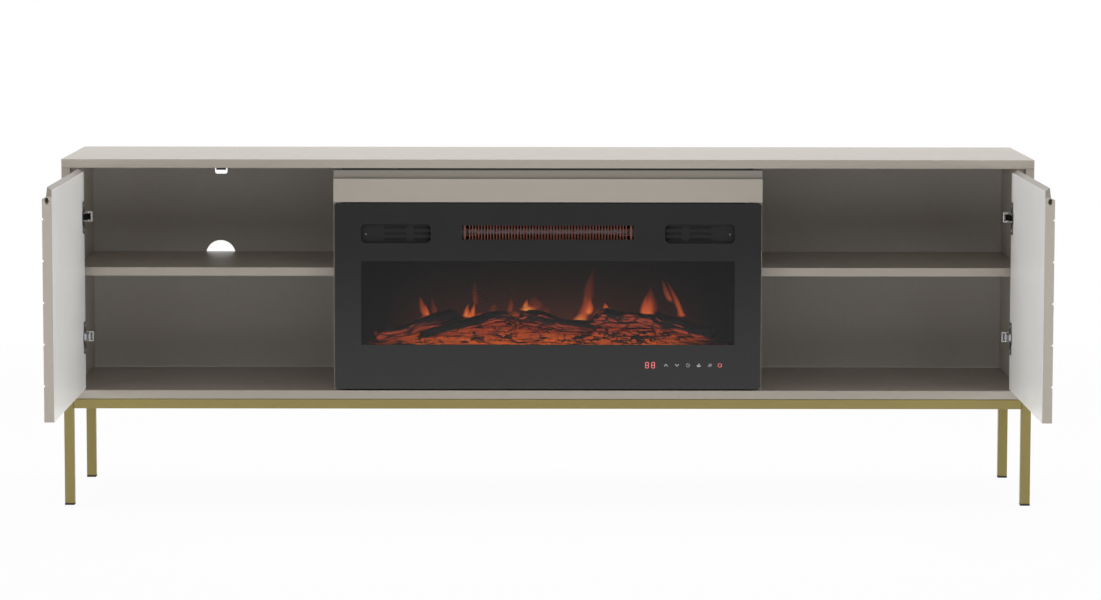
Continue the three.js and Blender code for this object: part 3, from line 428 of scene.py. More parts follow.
def moulded_finish(name, slot, colour, grain=700.0, gloss=0.55, **constants):
    """Moulded plastic with a fine eroded grain."""
    finish = Finish(name, slot, **constants)
    pits = finish.noise(grain, detail=3.0, roughness=0.65)
    rub = finish.noise(60.0, detail=3.0)
    finish.surface(Base_Color=finish.tone(rub, colour, 0.85, 1.2), Roughness=gloss + pits * 0.2)
    finish.relief(pits, 0.06 * MM, 0.7)
    return finish


def nickel_finish(name, colour, gloss, slot="hinge_steel"):
    """Nickel plate or bare steel with faint drawn lines and a few handling marks."""
    finish = Finish(name, slot)
    lines = finish.noise(260.0, detail=4.0, stretch=(1.0, 0.06, 1.0))
    marks = finish.noise(45.0, detail=5.0, roughness=0.7)
    finish.surface(Base_Color=finish.tone(marks, colour, 0.9, 1.06),
                   Metallic=1.0 - marks.above(0.7, 0.1) * 0.15,
                   Roughness=gloss + lines * 0.12 + marks * 0.06)
    finish.relief(lines, 0.01 * MM, 0.5)
    return finish


def powder_finish(name, slot, colour, gloss=0.42, **constants):
    """Powder coat: rounded fine texture, a little gloss."""
    finish = Finish(name, slot, **constants)
    beads = finish.noise(1100.0)
    cloud = finish.noise(9.0)
    finish.surface(Base_Color=finish.tone(cloud, colour, 0.85, 1.15), Roughness=gloss + beads * 0.2)
    finish.relief(beads, 0.05 * MM, 0.7)
    return finish


def screw_finish():
    """Zinc screw steel with a worn face."""
    finish = Finish("zinc_screw", "hinge_steel", Metallic=1.0)
    wear = finish.noise(900.0, detail=3.0)
    finish.surface(Base_Color=finish.mix(wear, (0.42, 0.42, 0.41), (0.66, 0.66, 0.64)),
                   Roughness=0.25 + wear * 0.2)
    finish.relief(wear, 0.02 * MM, 0.5)
    return finish


# Settings

def colour_setting(name, description, default):
    return FloatVectorProperty(name=name, description=description, subtype="COLOR", default=default)


def length_setting(name, description, default, least):
    return FloatProperty(name=name, description=description, default=default, min=least,
                         unit="LENGTH")


def power_setting(name, description, default):
    return FloatProperty(name=name, description=description, default=default, min=0.0,
                         unit="POWER")


def level_setting(name, description, default):
    return FloatProperty(name=name, description=description, default=default, min=0.0)


class BoardSettings(bpy.types.PropertyGroup):
    """Boards and doors."""
    colour: colour_setting("Lacquer", "Colour of the cabinet's lacquer", (0.417, 0.378, 0.327))
    inner_colour: colour_setting("Door lining", "Inner face of the doors", (0.95, 0.943, 0.925))
    back_colour: colour_setting("Back board", "Colour of the thin backs", (0.54, 0.51, 0.475))
    easing: length_setting("Edge easing", "Rounding of the boards' edges", 0.9 * MM, 0.1 * MM)


class BaseSettings(bpy.types.PropertyGroup):
    """Tube base."""
    colour: colour_setting("Gold", "Colour of the tube's coat", (0.298, 0.243, 0.082))
    foot_colour: colour_setting("Feet", "Colour of the plastic feet", (0.038, 0.028, 0.021))
    corner: length_setting("Tube corner", "Corner radius of the square tube", 1.6 * MM, 0.2 * MM)


class HingeSettings(bpy.types.PropertyGroup):
    """Concealed hinges and their screws."""
    screw_radius: length_setting("Screw head", "Radius of a cup screw's head", 3.4 * MM, MM)
    screw_height: length_setting("Screw height", "How far a head stands proud", 1.1 * MM, 0.2 * MM)


class GlassSettings(bpy.types.PropertyGroup):
    """Front glass of the fireplace."""
    print_colour: colour_setting("Print", "Colour of the border's print", (0.0065, 0.0065, 0.007))
    tint: FloatProperty(name="Window tint", description="How dark the clear window is",
                        default=0.3, min=0.0, max=1.0, subtype="FACTOR")
    polish: length_setting("Edge polish", "Rounding of the glass edges", 0.5 * MM, 0.1 * MM)


class HeaterSettings(bpy.types.PropertyGroup):
    """Outlet grille and radiant tube."""
    wire_colour: colour_setting("Wire", "Colour of the grille's wires", (0.17, 0.056, 0.037))
    wire_radius: length_setting("Wire radius", "Radius of an upright wire", 1.15 * MM, 0.3 * MM)
    wire_count: IntProperty(name="Wires", description="Number of upright wires", default=53, min=3)
    coil_turns: IntProperty(name="Coil turns", description="Turns of the heating coil", default=58,
                            min=4)


class FuelSettings(bpy.types.PropertyGroup):
    """Ember bed and logs."""
    ember_glow: level_setting("Ember glow", "Strength of the bed's light", 1.0)
    coal_size: length_setting("Coal size", "Width of one coal of the bed", 15 * MM, 3 * MM)
    bark_depth: length_setting("Bark depth", "Relief of the logs' bark", 2.4 * MM, 0.0)


class FlameSettings(bpy.types.PropertyGroup):
    """Flames thrown on the screen."""
    strength: level_setting("Flame strength", "Brightness of the flames", 1.4)


class ControlSettings(bpy.types.PropertyGroup):
    """Touch keys and display."""
    display_colour: colour_setting("Display", "Colour of the digits", (1.0, 0.2, 0.21))
    key_colour: colour_setting("Keys", "Colour of the key symbols", (0.45, 0.45, 0.46))
    stroke: length_setting("Stroke", "Width of the digits' strokes", 1.25 * MM, 0.2 * MM)


class StageSettings(bpy.types.PropertyGroup):
    """Floor, light and camera."""
    key_power: power_setting("Overhead light", "Power of the overhead softbox", 100.0)
    side_power: power_setting("Side lights", "Power of each low side softbox", 54.0)
    front_power: power_setting("Front light", "Power of the high front softbox", 13.5)
    fill_power: power_setting("Floor fill", "Power of the fill near the floor", 14.0)
    ambient: level_setting("Ambient", "Even light of the studio", 0.14)
    lens: FloatProperty(name="Lens", description="Focal length on a 36 mm sensor",
                        default=128.974, min=20.0)


# Cabinet

BOARDS = ("top_panel", "bottom_panel", "side_panel_left", "side_panel_right", "divider_left",
          "divider_right", "shelf_left", "shelf_right")


class STAND_OT_boards(bpy.types.Operator):
    """Lacquered boards of the cabinet with eased edges"""
    bl_idname = "stand.boards"
    bl_label = "Boards"

    def execute(self, context):
        settings = context.scene.stand_boards
        colour = settings.colour
        finish = lacquer_finish("satin_lacquer", colour)
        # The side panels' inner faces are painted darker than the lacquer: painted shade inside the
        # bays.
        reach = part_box("side_panel_right")[0].x + MARGIN
        sides = lacquer_finish("side_lacquer", colour, shade(colour, 0.46), reach)
        for node in BOARDS:
            eased_copy(node, sides if node.startswith("side") else finish, settings.easing)
        # The fascia's milled pull gets painted shade, and a near-black painted shadow band under
        # the top board.
        low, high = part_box("fascia_panel")
        strip = lacquer_finish("fascia_lacquer", colour, top=high.z,
                               depth_of=lambda finish: finish.axes()[1] - low.y)
        eased_copy("fascia_panel", strip, settings.easing * 0.6,
                   reshape=lambda form: self.raise_lip(form, low.y, high.z))
        # The fascia rail is coloured near black: painted shade in the gap behind the fascia.
        eased_copy("fascia_rail", lacquer_finish("stained_rail", shade(colour, 0.06)),
                   settings.easing)
        return {"FINISHED"}

    def raise_lip(self, form, face, top):
        """The fascia's lip stands a little higher than the doors'."""
        lip = [vert for vert in form.verts
               if vert.co.y < face + PULL_DEPTH and abs(vert.co.z - top + LIP_DROP) < 2 * MM]
        bmesh.ops.translate(form, vec=(0, 0, LIP_RISE), verts=lip)


class STAND_OT_doors(bpy.types.Operator):
    """Two inset doors with grooves, a milled finger pull and a white lining"""
    bl_idname = "stand.doors"
    bl_label = "Doors"

    def execute(self, context):
        settings = context.scene.stand_boards
        low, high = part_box("door_right")
        # The doors' milled pull gets painted shade; the painted shadow band starts above the doors'
        # top, so none falls on them.
        finish = lacquer_finish("door_lacquer", settings.colour, settings.inner_colour,
                                low.x + MARGIN, top=high.z + PAINTED_SHADOW_BAND, gloss=0.2,
                                depth_of=lambda finish: high.x - abs(finish.axes()[0]))
        finish.surface(Coat_Roughness=0.16, Coat_Weight=0.08 + finish.noise(12.0) * 0.08)
        for side in SIDES:
            eased_copy("door_" + side, finish, settings.easing * 0.6)
        return {"FINISHED"}


class STAND_OT_backs(bpy.types.Operator):
    """Thin back boards and the wall bracket"""
    bl_idname = "stand.backs"
    bl_label = "Backs"

    def execute(self, context):
        board = back_board_finish(context.scene.stand_boards.back_colour)
        for place in ("left", "centre", "right"):
            eased_copy("back_panel_" + place, board, 0.3 * MM,
                       reshape=self.lower_hole if place == "left" else None)
        eased_copy("wall_bracket", powder_finish("bracket_coat", "dark_steel", grey(0.012)),
                   0.4 * MM)
        return {"FINISHED"}

    def lower_hole(self, form):
        """Moves the cable hole down, to where the shelf's rear edge crosses it."""
        low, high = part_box("back_panel_left")
        hole = [vert for vert in form.verts if low.z + MM < vert.co.z < high.z - NOTCH_DEPTH]
        bmesh.ops.translate(form, vec=(0, 0, -CABLE_HOLE_SHIFT), verts=hole)


class STAND_OT_base(bpy.types.Operator):
    """Square-tube base in satin gold on dark plastic feet"""
    bl_idname = "stand.base"
    bl_label = "Base"

    def execute(self, context):
        settings = context.scene.stand_base
        gold = gold_finish(settings.colour)
        feet = moulded_finish("foot_plastic", "foot_plastic", settings.foot_colour)
        for end in ("front", "rear"):
            eased_copy("frame_rail_" + end, gold, settings.corner)
            for side in SIDES:
                eased_copy(f"leg_{end}_{side}", gold, settings.corner)
                eased_copy(f"foot_{end}_{side}", feet, 0.6 * MM)
        for side in SIDES:
            eased_copy("frame_rail_" + side, gold, settings.corner)
        return {"FINISHED"}


def add_screw(form, centre, out, radius, height):
    """A pan head that stands out from the board it is driven into."""
    add_turned(form, [(0, height), (radius * 0.55, height * 0.93), (radius * 0.9, height * 0.55),
                      (radius, height * 0.12), (radius, 0), (0, 0)], centre, out, sides=20)


class STAND_OT_hinges(bpy.types.Operator):
    """Four concealed hinges: cups, links and arms in nickel plate, the upper links darkened as
    painted shade and the lower ones lightened as a painted highlight, with the cups' screws
    """
    bl_idname = "stand.hinges"
    bl_label = "Hinges"

    def execute(self, context):
        settings = context.scene.stand_hinges
        # The upper links' near-black colour is painted shade and the lower links' light colour a
        # painted highlight.
        plates = {"cup": nickel_finish("dull_nickel", (0.13, 0.13, 0.128), 0.3),
                  "upper_link": nickel_finish("burnished_link", grey(0.01), 0.4),
                  "lower_link": nickel_finish("bright_link", (0.5, 0.5, 0.52), 0.42),
                  "arm": nickel_finish("nickel", (0.9, 0.9, 0.88), 0.16)}
        zinc = screw_finish()
        for side in SIDES:
            for level in ("upper", "lower"):
                for part in ("cup", "link", "arm"):
                    plate = plates.get(part) or plates[f"{level}_{part}"]
                    eased_copy(f"hinge_{part}_{level}_{side}", plate, 0.18 * MM)
                self.screws(settings, zinc, level, side)
        return {"FINISHED"}

    def screws(self, settings, zinc, level, side):
        """Two screws in the cup's flange."""
        low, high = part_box(f"hinge_cup_{level}_{side}")
        face, out = (high.x, (1, 0, 0)) if side == "left" else (low.x, (-1, 0, 0))
        inset = 7.5 * MM
        form = bmesh.new()
        for z in (low.z + inset, high.z - inset):
            add_screw(form, (face, (low.y + high.y) / 2, z), out, settings.screw_radius,
                      settings.screw_height)
        new_piece(f"cup_screws_{level}_{side}", form, zinc, side + "_door")


# Fireplace

class STAND_OT_glass(bpy.types.Operator):
    """Front glass with a black printed border and a clear window"""
    bl_idname = "stand.glass"
    bl_label = "Glass"

    def execute(self, context):
        settings = context.scene.stand_glass
        low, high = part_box("firebox")
        side, sill, head = 9 * MM, 10.6 * MM, 7.4 * MM
        bottom, top = low.z + sill, high.z - head
        finish = Finish("printed_glass", "black_glass", IOR=1.5)
        across, _, up = finish.axes()
        inside = (1.0 - abs(across).above(high.x - side)) * (
            1.0 - abs(up - (bottom + top) / 2).above((top - bottom) / 2))
        smear = finish.noise(14.0, detail=4.0, roughness=0.6)
        finish.surface(Base_Color=finish.tone(smear, settings.print_colour, 1.0, 1.5),
                       Roughness=0.03 + smear * 0.04,
                       Alpha=1.0 - inside * (1.0 - settings.tint))
        eased_copy("front_glass", finish, settings.polish)
        return {"FINISHED"}


class STAND_OT_vents(bpy.types.Operator):
    """Recessed vent trays with slots, dust gauze behind them and a small screw each"""
    bl_idname = "stand.vents"
    bl_label = "Vents"

    def execute(self, context):
        plastic = moulded_finish("vent_plastic", "black_sheet", (0.0085, 0.0085, 0.009), gloss=0.5,
                                 Specular_IOR_Level=0.3)
        gauze = self.gauze_finish()
        dull = nickel_finish("dulled_screw", grey(0.2), 0.4)
        screw_inset, screw_drop, screw_radius, screw_depth = 10.7 * MM, 2 * MM, 2 * MM, 1.2 * MM
        border, gap, cloth = 4 * MM, 0.3 * MM, 0.6 * MM
        for side in SIDES:
            node = "vent_louvre_" + side
            eased_copy(node, plastic, 0.35 * MM)
            low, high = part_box(node)
            outer = low.x + screw_inset if side == "left" else high.x - screw_inset
            form = bmesh.new()
            add_screw(form, (outer, high.y - screw_depth, (low.z + high.z) / 2 - screw_drop),
                      (0, -1, 0), screw_radius, screw_radius / 2)
            new_piece("vent_screw_" + side, form, dull)
            form = bmesh.new()
            add_block(form, (low.x + border, high.y + gap, low.z + border),
                      (high.x - border, high.y + gap + cloth, high.z - border), cloth / 3)
            new_piece("vent_gauze_" + side, form, gauze)
        return {"FINISHED"}

    def gauze_finish(self):
        """Fine dark weave."""
        finish = Finish("dust_gauze", "black_sheet", Specular_IOR_Level=0.25)
        across, _, up = finish.axes()
        threads = 5200.0
        weave = finish.maths("SINE", across * threads) * finish.maths("SINE", up * threads)
        finish.surface(Base_Color=finish.mix((weave * 0.5 + 0.5).clamped(), grey(0.005),
                                             grey(0.011)), Roughness=0.6 + weave * 0.1)
        finish.relief(weave * 0.5 + 0.5, 0.1 * MM, 0.6)
        return finish


class STAND_OT_heater(bpy.types.Operator):
    """Outlet grille of upright wires, reflector, and quartz tube with its coil"""
    bl_idname = "stand.heater"
    bl_label = "Heater"

    def execute(self, context):
        settings = context.scene.stand_heater
        self.grille(settings)
        low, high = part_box("quartz_tube")
        middle = (low + high) / 2
        cap = 14 * MM
        self.tube(low.x + cap, high.x - cap, middle)
        self.coil(settings.coil_turns, low.x + cap, high.x - cap, middle)
        self.caps(low.x, high.x, middle, cap)
        foil = nickel_finish("bright_foil", (0.11, 0.085, 0.08), 0.3, "mirror_foil")
        eased_copy("heater_reflector", foil, 0.2 * MM)
        dress(nickel_finish("duct_steel", grey(0.36), 0.35), "heater_duct")
        return {"FINISHED"}

    def wire_finish(self, colour):
        """A reddish-brown coat, darker and lighter in bands."""
        finish = Finish("coated_wire", "rust_wire")
        scale = finish.noise(700.0, detail=4.0, roughness=0.7)
        band = finish.noise(55.0)
        finish.surface(Base_Color=finish.tone((scale * 0.6 + band * 0.4).clamped(), colour, 0.6,
                                              1.5), Roughness=0.38 + scale * 0.25)
        finish.relief(scale, 0.05 * MM, 0.7)
        return finish

    def grille(self, settings):
        """A rim, the upright wires, and at each end two cross wires and a bracket plate."""
        low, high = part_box("heater_grille")
        y = (low.y + high.y) / 2
        rim, tab = 1 * MM, 14 * MM
        left, right, bottom, top = low.x + rim, high.x - rim, low.z + rim, high.z - rim
        form = bmesh.new()
        for z in (bottom, top):
            add_rod(form, (left, y, z), (right, y, z), rim)
        for x in (left, right):
            add_rod(form, (x, y, bottom), (x, y, top), rim)
        pitch = (high.x - low.x - 2 * tab) / settings.wire_count
        for number in range(settings.wire_count):
            x = low.x + tab + (number + 0.5) * pitch
            add_rod(form, (x, y, bottom), (x, y, top), settings.wire_radius)
        third, reach = (high.z - low.z) / 3, 2.3 * tab
        cross_radius, behind = 0.7 * MM, y + 1.1 * MM
        for z in (low.z + third, high.z - third):
            for x0, x1 in ((left, low.x + reach), (high.x - reach, right)):
                add_rod(form, (x0, behind, z), (x1, behind, z), cross_radius)
        half_width, half_thickness = 2.2 * MM, 0.5 * MM
        for x in (low.x + tab / 2, high.x - tab / 2):
            add_block(form, (x - half_width, y - half_thickness, bottom),
                      (x + half_width, y + half_thickness, top), 0.3 * MM)
        new_piece("outlet_grille", form, self.wire_finish(settings.wire_colour),
                  replaces=["heater_grille"])

    def tube(self, left, right, middle):
        """Quartz envelope between the caps."""
        quartz = Finish("quartz_glass", "quartz", IOR=1.46)
        haze = quartz.noise(80.0, detail=3.0)
        quartz.surface(Base_Color=quartz.mix(haze, (0.16, 0.17, 0.2), (0.26, 0.28, 0.33)),
                       Roughness=0.08 + haze * 0.08, Alpha=0.55 + haze * 0.15)
        radius, rounding, length = 6 * MM, 1 * MM, right - left
        form = bmesh.new()
        add_turned(form, [(0, 0), (radius * 0.7, 0), (radius, rounding),
                          (radius, length - rounding), (radius * 0.7, length), (0, length)],
                   (left, middle.y, middle.z), (1, 0, 0), sides=32)
        new_piece("quartz_envelope", form, quartz, replaces=["quartz_tube"])

    def coil(self, turns, left, right, middle):
        """Heating coil wound from one cap to the other."""
        steps = turns * 14
        radius, wire_radius = 3.4 * MM, 0.45 * MM
        wire = []
        for step in range(steps + 1):
            angle = step * turns * 2 * math.pi / steps
            wire.append((left + (right - left) * step / steps, middle.y + radius * math.cos(angle),
                         middle.z + radius * math.sin(angle)))
        form = bmesh.new()
        add_swept(form, [wire], wire_radius, resolution=1)
        new_piece("heating_coil", form, nickel_finish("coil_alloy", (0.2, 0.17, 0.16), 0.4,
                                                      "quartz"))

    def caps(self, left, right, middle, length):
        """Ceramic caps on the tube's ends."""
        ceramic = moulded_finish("ceramic", "quartz", (0.16, 0.15, 0.14), 900.0, 0.6)
        seam, radius = length - 0.2 * MM, 9 * MM
        form = bmesh.new()
        for x, way in ((left, 1), (right, -1)):
            add_turned(form, [(0, 0), (7.5 * MM, 0), (radius, 1.2 * MM), (radius, length - 4 * MM),
                              (7.2 * MM, seam), (0, seam)],
                       (x, middle.y, middle.z), (way, 0, 0), sides=28)
        new_piece("ceramic_caps", form, ceramic)


class STAND_OT_firebox(bpy.types.Operator):
    """Dark lining of the fire, steel tray, case, and the smoked screen behind the logs with a
    painted glow
    """
    bl_idname = "stand.firebox"
    bl_label = "Firebox"

    def execute(self, context):
        sheet = powder_finish("matt_black", "black_sheet", (0.004, 0.004, 0.0042), 0.6,
                              Specular_IOR_Level=0.12)
        dress(sheet, "firebox")
        eased_copy("front_frame", sheet, 0.25 * MM)
        eased_copy("fire_case", powder_finish("case_coat", "dark_steel", (0.03, 0.03, 0.032)),
                   0.3 * MM)
        self.screen()
        return {"FINISHED"}

    def screen(self):
        """A warm glow above the flames is painted as emission on the screen, over a faint painted
        glow that is warmer in the middle.
        """
        low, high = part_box("flame_screen")
        finish = Finish("smoked_screen", "smoked_screen", Emission_Strength=1.0,
                        Specular_IOR_Level=0.06)
        across, _, up = finish.axes()
        height = (up - low.z) * (1.0 / (high.z - low.z))
        drift = finish.noise(9.0, detail=3.0, stretch=(1.0, 1.0, 0.5))
        # Painted light: a warm glow above the flames and a faint glow over the whole screen, both
        # painted as emission.
        centre = (1.0 - across * across * 8.5).clamped()
        haze = ((1.0 - height) ** 2.6) * centre * (0.5 + drift)
        painted_base_glow = finish.mix(centre, (0.006, 0.0062, 0.0062), (0.0125, 0.0098, 0.0088))
        finish.surface(Base_Color=finish.mix(drift, (0.0025, 0.002, 0.002), (0.004, 0.003, 0.003)),
                       Emission_Color=finish.mix(haze.clamped(), painted_base_glow, (0.19, 0.046, 0.026)),
                       Roughness=0.5 + drift * 0.1)
        eased_copy("flame_screen", finish, 0.2 * MM)


# Each log: its two ends (x, y, z) and the radius at each in millimetres, a number that varies its
# bark, and how charred each end is, where 1 is wholly black
LOGS = (
    ((-352, 98, 341), (-186, 118, 390), (12.0, 16.0), 1.0, (0.12, 1.55)),
    ((-256, 90, 352), (-80, 110, 391), (8.5, 13.5), 2.7, (0.95, 0.55)),
    ((-56, 116, 387), (94, 104, 359), (19.0, 11.5), 4.4, (0.3, 1.0)),
    ((100, 108, 387), (218, 106, 374), (20.5, 15.5), 6.1, (0.34, 0.3)),
    ((212, 112, 381), (346, 96, 352), (19.5, 14.0), 7.8, (0.45, 1.3)),
)


def eased_step(value):
    """Smooth rise from 0 to 1 over the same span."""
    value = min(1.0, max(0.0, value))
    return value * value * (3 - 2 * value)


def log_at(x, log):
    """How far a place is past a log's ends along X, and the nearest place on the log's axis with
    its radius there, in millimetres."""
    (x0, y0, z0), (x1, y1, z1), (r0, r1), _, _ = log
    share = min(1.0, max(0.0, (x - x0) / (x1 - x0)))
    past = x - (x0 + (x1 - x0) * share)
    return past, y0 + (y1 - y0) * share, z0 + (z1 - z0) * share, r0 + (r1 - r0) * share


def mound_height(x, y, floor):
    """Height of the coals heaped against the logs, from their front down to the bed."""
    best = 0.0
    level_run, slope_run, end_run = 4.0, 44.0, 13.0
    for log in LOGS:
        past, axis_y, axis_z, radius = log_at(x / MM, log)
        crest = axis_z - 0.8 * radius - floor / MM
        fall = eased_step((axis_y - y / MM - level_run) / slope_run)
        best = max(best, crest * (1 - fall) * math.exp(-(past / end_run) ** 2))
    return best * MM


def log_clearance(x, y, z):
    """Distance from a place on the bed to the nearest log's bark, in metres."""
    nearest = 1.0
    for log in LOGS:
        past, axis_y, axis_z, radius = log_at(x / MM, log)
        reach = math.hypot(past, y / MM - axis_y, z / MM - axis_z)
        nearest = min(nearest, (reach - radius) * MM)
    return nearest


# Keeps the vector noise that bends the gaps between coals the same in each run
COAL_SEED = 5


def coal_height(x, y, low, high, coal):
    """Height of the ember bed over its floor and how near a point is to a gap between coals."""
    front, rise, least, groove, grit = 7 * MM, 18 * MM, 1.5 * MM, 3.0 * MM, 1.3 * MM
    back = (y - low.y) / (high.y - low.y)
    warp = noise.noise_vector(Vector((x, y, 0.3)) * 90) * 0.22 * coal
    distances, _ = noise.voronoi(Vector(((x + warp.x) * 0.6, (y + warp.y) * 1.15, 0.0)) / coal)
    gap = min(1.0, (distances[1] - distances[0]) * 1.8)
    swell = noise.noise(Vector((x * 22, y * 30, 0.0)))
    crumb = noise.fractal(Vector((x, y, 0.1)) * 260, 1.0, 2.0, 3)
    ends = eased_step((x / MM - 262) / 70 if x > 0 else (-x / MM - 300) / 60)
    thin = 1 - 0.8 * eased_step((x / MM - 285) / 50)
    bed = front * thin + rise * back * (1 + 0.25 * swell) * (1 - ends)
    heap = mound_height(x, y, low.z) * thin
    body = max(bed, heap) + 0.12 * min(bed, heap)
    return max(least, body + (groove * math.sqrt(gap) + grit * crumb) * thin), gap


class STAND_OT_fuel(bpy.types.Operator):
    """Glowing ember bed and five charred logs"""
    bl_idname = "stand.fuel"
    bl_label = "Fuel bed"

    def execute(self, context):
        settings = context.scene.stand_fuel
        self.bed(settings)
        bark = self.bark_finish(settings.ember_glow)
        for number, log in enumerate(LOGS, start=1):
            self.log(number, log, settings.bark_depth, bark)
        return {"FINISHED"}

    def ember_finish(self, glow_strength):
        """Orange resin lit from below, redder uphill, with sooty flakes, wandering cracks and a
        painted shadow along the logs.
        """
        finish = Finish("ember_resin", "ember_resin", Emission_Strength=glow_strength)
        gap, clearance = (Term(finish, finish.layer(name, "Fac")) for name in ("gap", "clearance"))
        across, _, up = finish.axes()
        heat = finish.noise(22.0, detail=3.0, roughness=0.6)
        ash = finish.noise(170.0, detail=4.0, roughness=0.7)
        grain = finish.noise(120.0, detail=5.0, roughness=0.72, distortion=0.6,
                             stretch=(0.2, 1.0, 1.6))
        flake = finish.noise(62.0, detail=4.0, roughness=0.6, distortion=0.5,
                             stretch=(0.3, 1.0, 1.5))
        wander = finish.noise(34.0, detail=3.0, roughness=0.55, vector=self.crumpled(finish))
        crack = (1.0 - abs(wander - 0.5).above(0.03, 0.02)) * heat.above(0.47, 0.05)
        low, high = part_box("fuel_bed")
        rise = ((up - low.z) * (1.0 / (high.z - low.z))).clamped()
        # Painted shadow: the bed is darkened where it meets the logs.
        log_shadow = 1.0 - (clearance * 300.0 + (flake - 0.5) * 7.0 + (ash - 0.5) * 2.0).clamped()
        dark = (crack + flake.above(0.59, 0.02) + log_shadow + grain.above(0.565, 0.04) * 0.75
                + (1.0 - gap.above(0.1, 0.14)) * 0.4).clamped()
        warm = (heat.above(0.5, 0.5) * 0.35 + (1.0 - grain.above(0.47, 0.12)) * 0.55 + 0.62
                - rise * 1.9).clamped()
        glow = finish.mix(warm, (0.25, 0.022, 0.01), (1.0, 0.17, 0.018))
        glow = finish.mix(ash.above(0.55, 0.1) * 0.5, glow, (0.16, 0.018, 0.008))
        edge = (across.above(288 * MM, 84 * MM) * 0.93 + (-across).above(305 * MM, 70 * MM) * 0.8
                + (-across).above(362 * MM, 14 * MM))
        finish.surface(
            Base_Color=finish.mix(dark, (0.3, 0.05, 0.016), grey(0.004)),
            Emission_Color=finish.mix((dark + edge).clamped(), glow, (0.003, 0.0006, 0.0004)),
            Roughness=0.5 + ash * 0.3)
        finish.relief(ash * 0.5 + flake * 0.5, 0.9 * MM, 0.7)
        return finish

    def crumpled(self, finish):
        """The place bent by a noise, so that cracks wander."""
        bend = finish.noise(60.0, detail=3.0).socket.node.outputs["Color"]
        offset = finish.node("ShaderNodeVectorMath", {"operation": "SCALE"},
                             {0: bend, "Scale": 0.03})
        return finish.node("ShaderNodeVectorMath", {"operation": "ADD"}, {
            0: finish.stretched((0.45, 1.0, 1.3)), 1: offset.outputs[0]}).outputs[0]

    def bed(self, settings):
        """A sheet of coals, closed below by a skirt and a floor."""
        low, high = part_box("fuel_bed")
        size, middle = high - low, (low + high) / 2
        form = bmesh.new()
        gap_layer = form.verts.layers.float.new("gap")
        clearance_layer = form.verts.layers.float.new("clearance")
        bmesh.ops.create_grid(form, x_segments=420, y_segments=52, size=0.5)
        bmesh.ops.scale(form, vec=(size.x, size.y, 1.0), verts=form.verts)
        bmesh.ops.translate(form, vec=(middle.x, middle.y, low.z), verts=form.verts)
        rim = [edge for edge in form.edges if edge.is_boundary]
        top = list(form.verts)
        skirt = bmesh.ops.extrude_edge_only(form, edges=rim)["geom"]
        foot = [edge for edge in skirt
                if isinstance(edge, bmesh.types.BMEdge) and edge.is_boundary]
        bmesh.ops.contextual_create(form, geom=foot)
        noise.seed_set(COAL_SEED)
        for vert in top:
            height, gap = coal_height(vert.co.x, vert.co.y, low, high, settings.coal_size)
            vert.co.z += height
            vert[gap_layer] = gap
            # The distance to the nearest log sets the painted shadow next to the logs.
            vert[clearance_layer] = log_clearance(*vert.co)
        bmesh.ops.recalc_face_normals(form, faces=form.faces)
        new_piece("ember_bed", form, self.ember_finish(settings.ember_glow),
                  replaces=["fuel_bed"], smooth_angle=60.0)

    def bark_finish(self, glow_strength):
        """Charred bark above, darker on the tops as char and as painted shade; red translucent
        resin with drawn grain and a painted glow from the bed below on the sides and ends.
        """
        finish = Finish("charred_log", "ember_resin", Emission_Strength=glow_strength)
        grain = finish.layer("grain")
        char = Term(finish, finish.layer("char", "Fac"))
        upward = finish.axes(finish.node("ShaderNodeNewGeometry").outputs["Normal"])[2]
        streak = finish.noise(210.0, detail=6.0, roughness=0.68, distortion=0.5,
                              stretch=(1.0, 1.0, 0.11), vector=grain)
        flake = finish.noise(58.0, detail=4.0, roughness=0.6, stretch=(1.0, 1.0, 0.3),
                             vector=grain)
        split = finish.cells(104.0, stretch=(1.0, 1.0, 0.2), vector=grain)
        # The tops are darkened by their upward slope: char, and painted shade where the light from
        # below does not reach.
        heat = upward * 0.75 + char + (flake - 0.5) * 1.6 + (streak - 0.5) * 0.6
        char_and_shade = heat.above(0.62, 0.16)
        crack = 1.0 - split.above(0.075, 0.04)
        dark = (char_and_shade + crack * 0.9 + streak.above(0.535, 0.04) * 0.85).clamped()
        wood = finish.mix(streak, (0.05, 0.009, 0.006), (0.2, 0.042, 0.022))
        soot = finish.mix(flake, grey(0.006), (0.022, 0.02, 0.02))
        glow = finish.mix((flake * 0.6 + (1.0 - streak) * 0.5 - 0.05).above(0.5, 0.3),
                          (0.14, 0.014, 0.009), (0.74, 0.112, 0.042))
        finish.surface(Base_Color=finish.mix(dark, wood, soot),
                       Emission_Color=finish.mix(dark, glow, (0.002, 0.0008, 0.0006)),
                       Roughness=0.55 + streak * 0.3)
        finish.relief(streak * 0.5 + split.above(0.08, 0.16) * 0.5, 0.9 * MM, 0.8)
        return finish

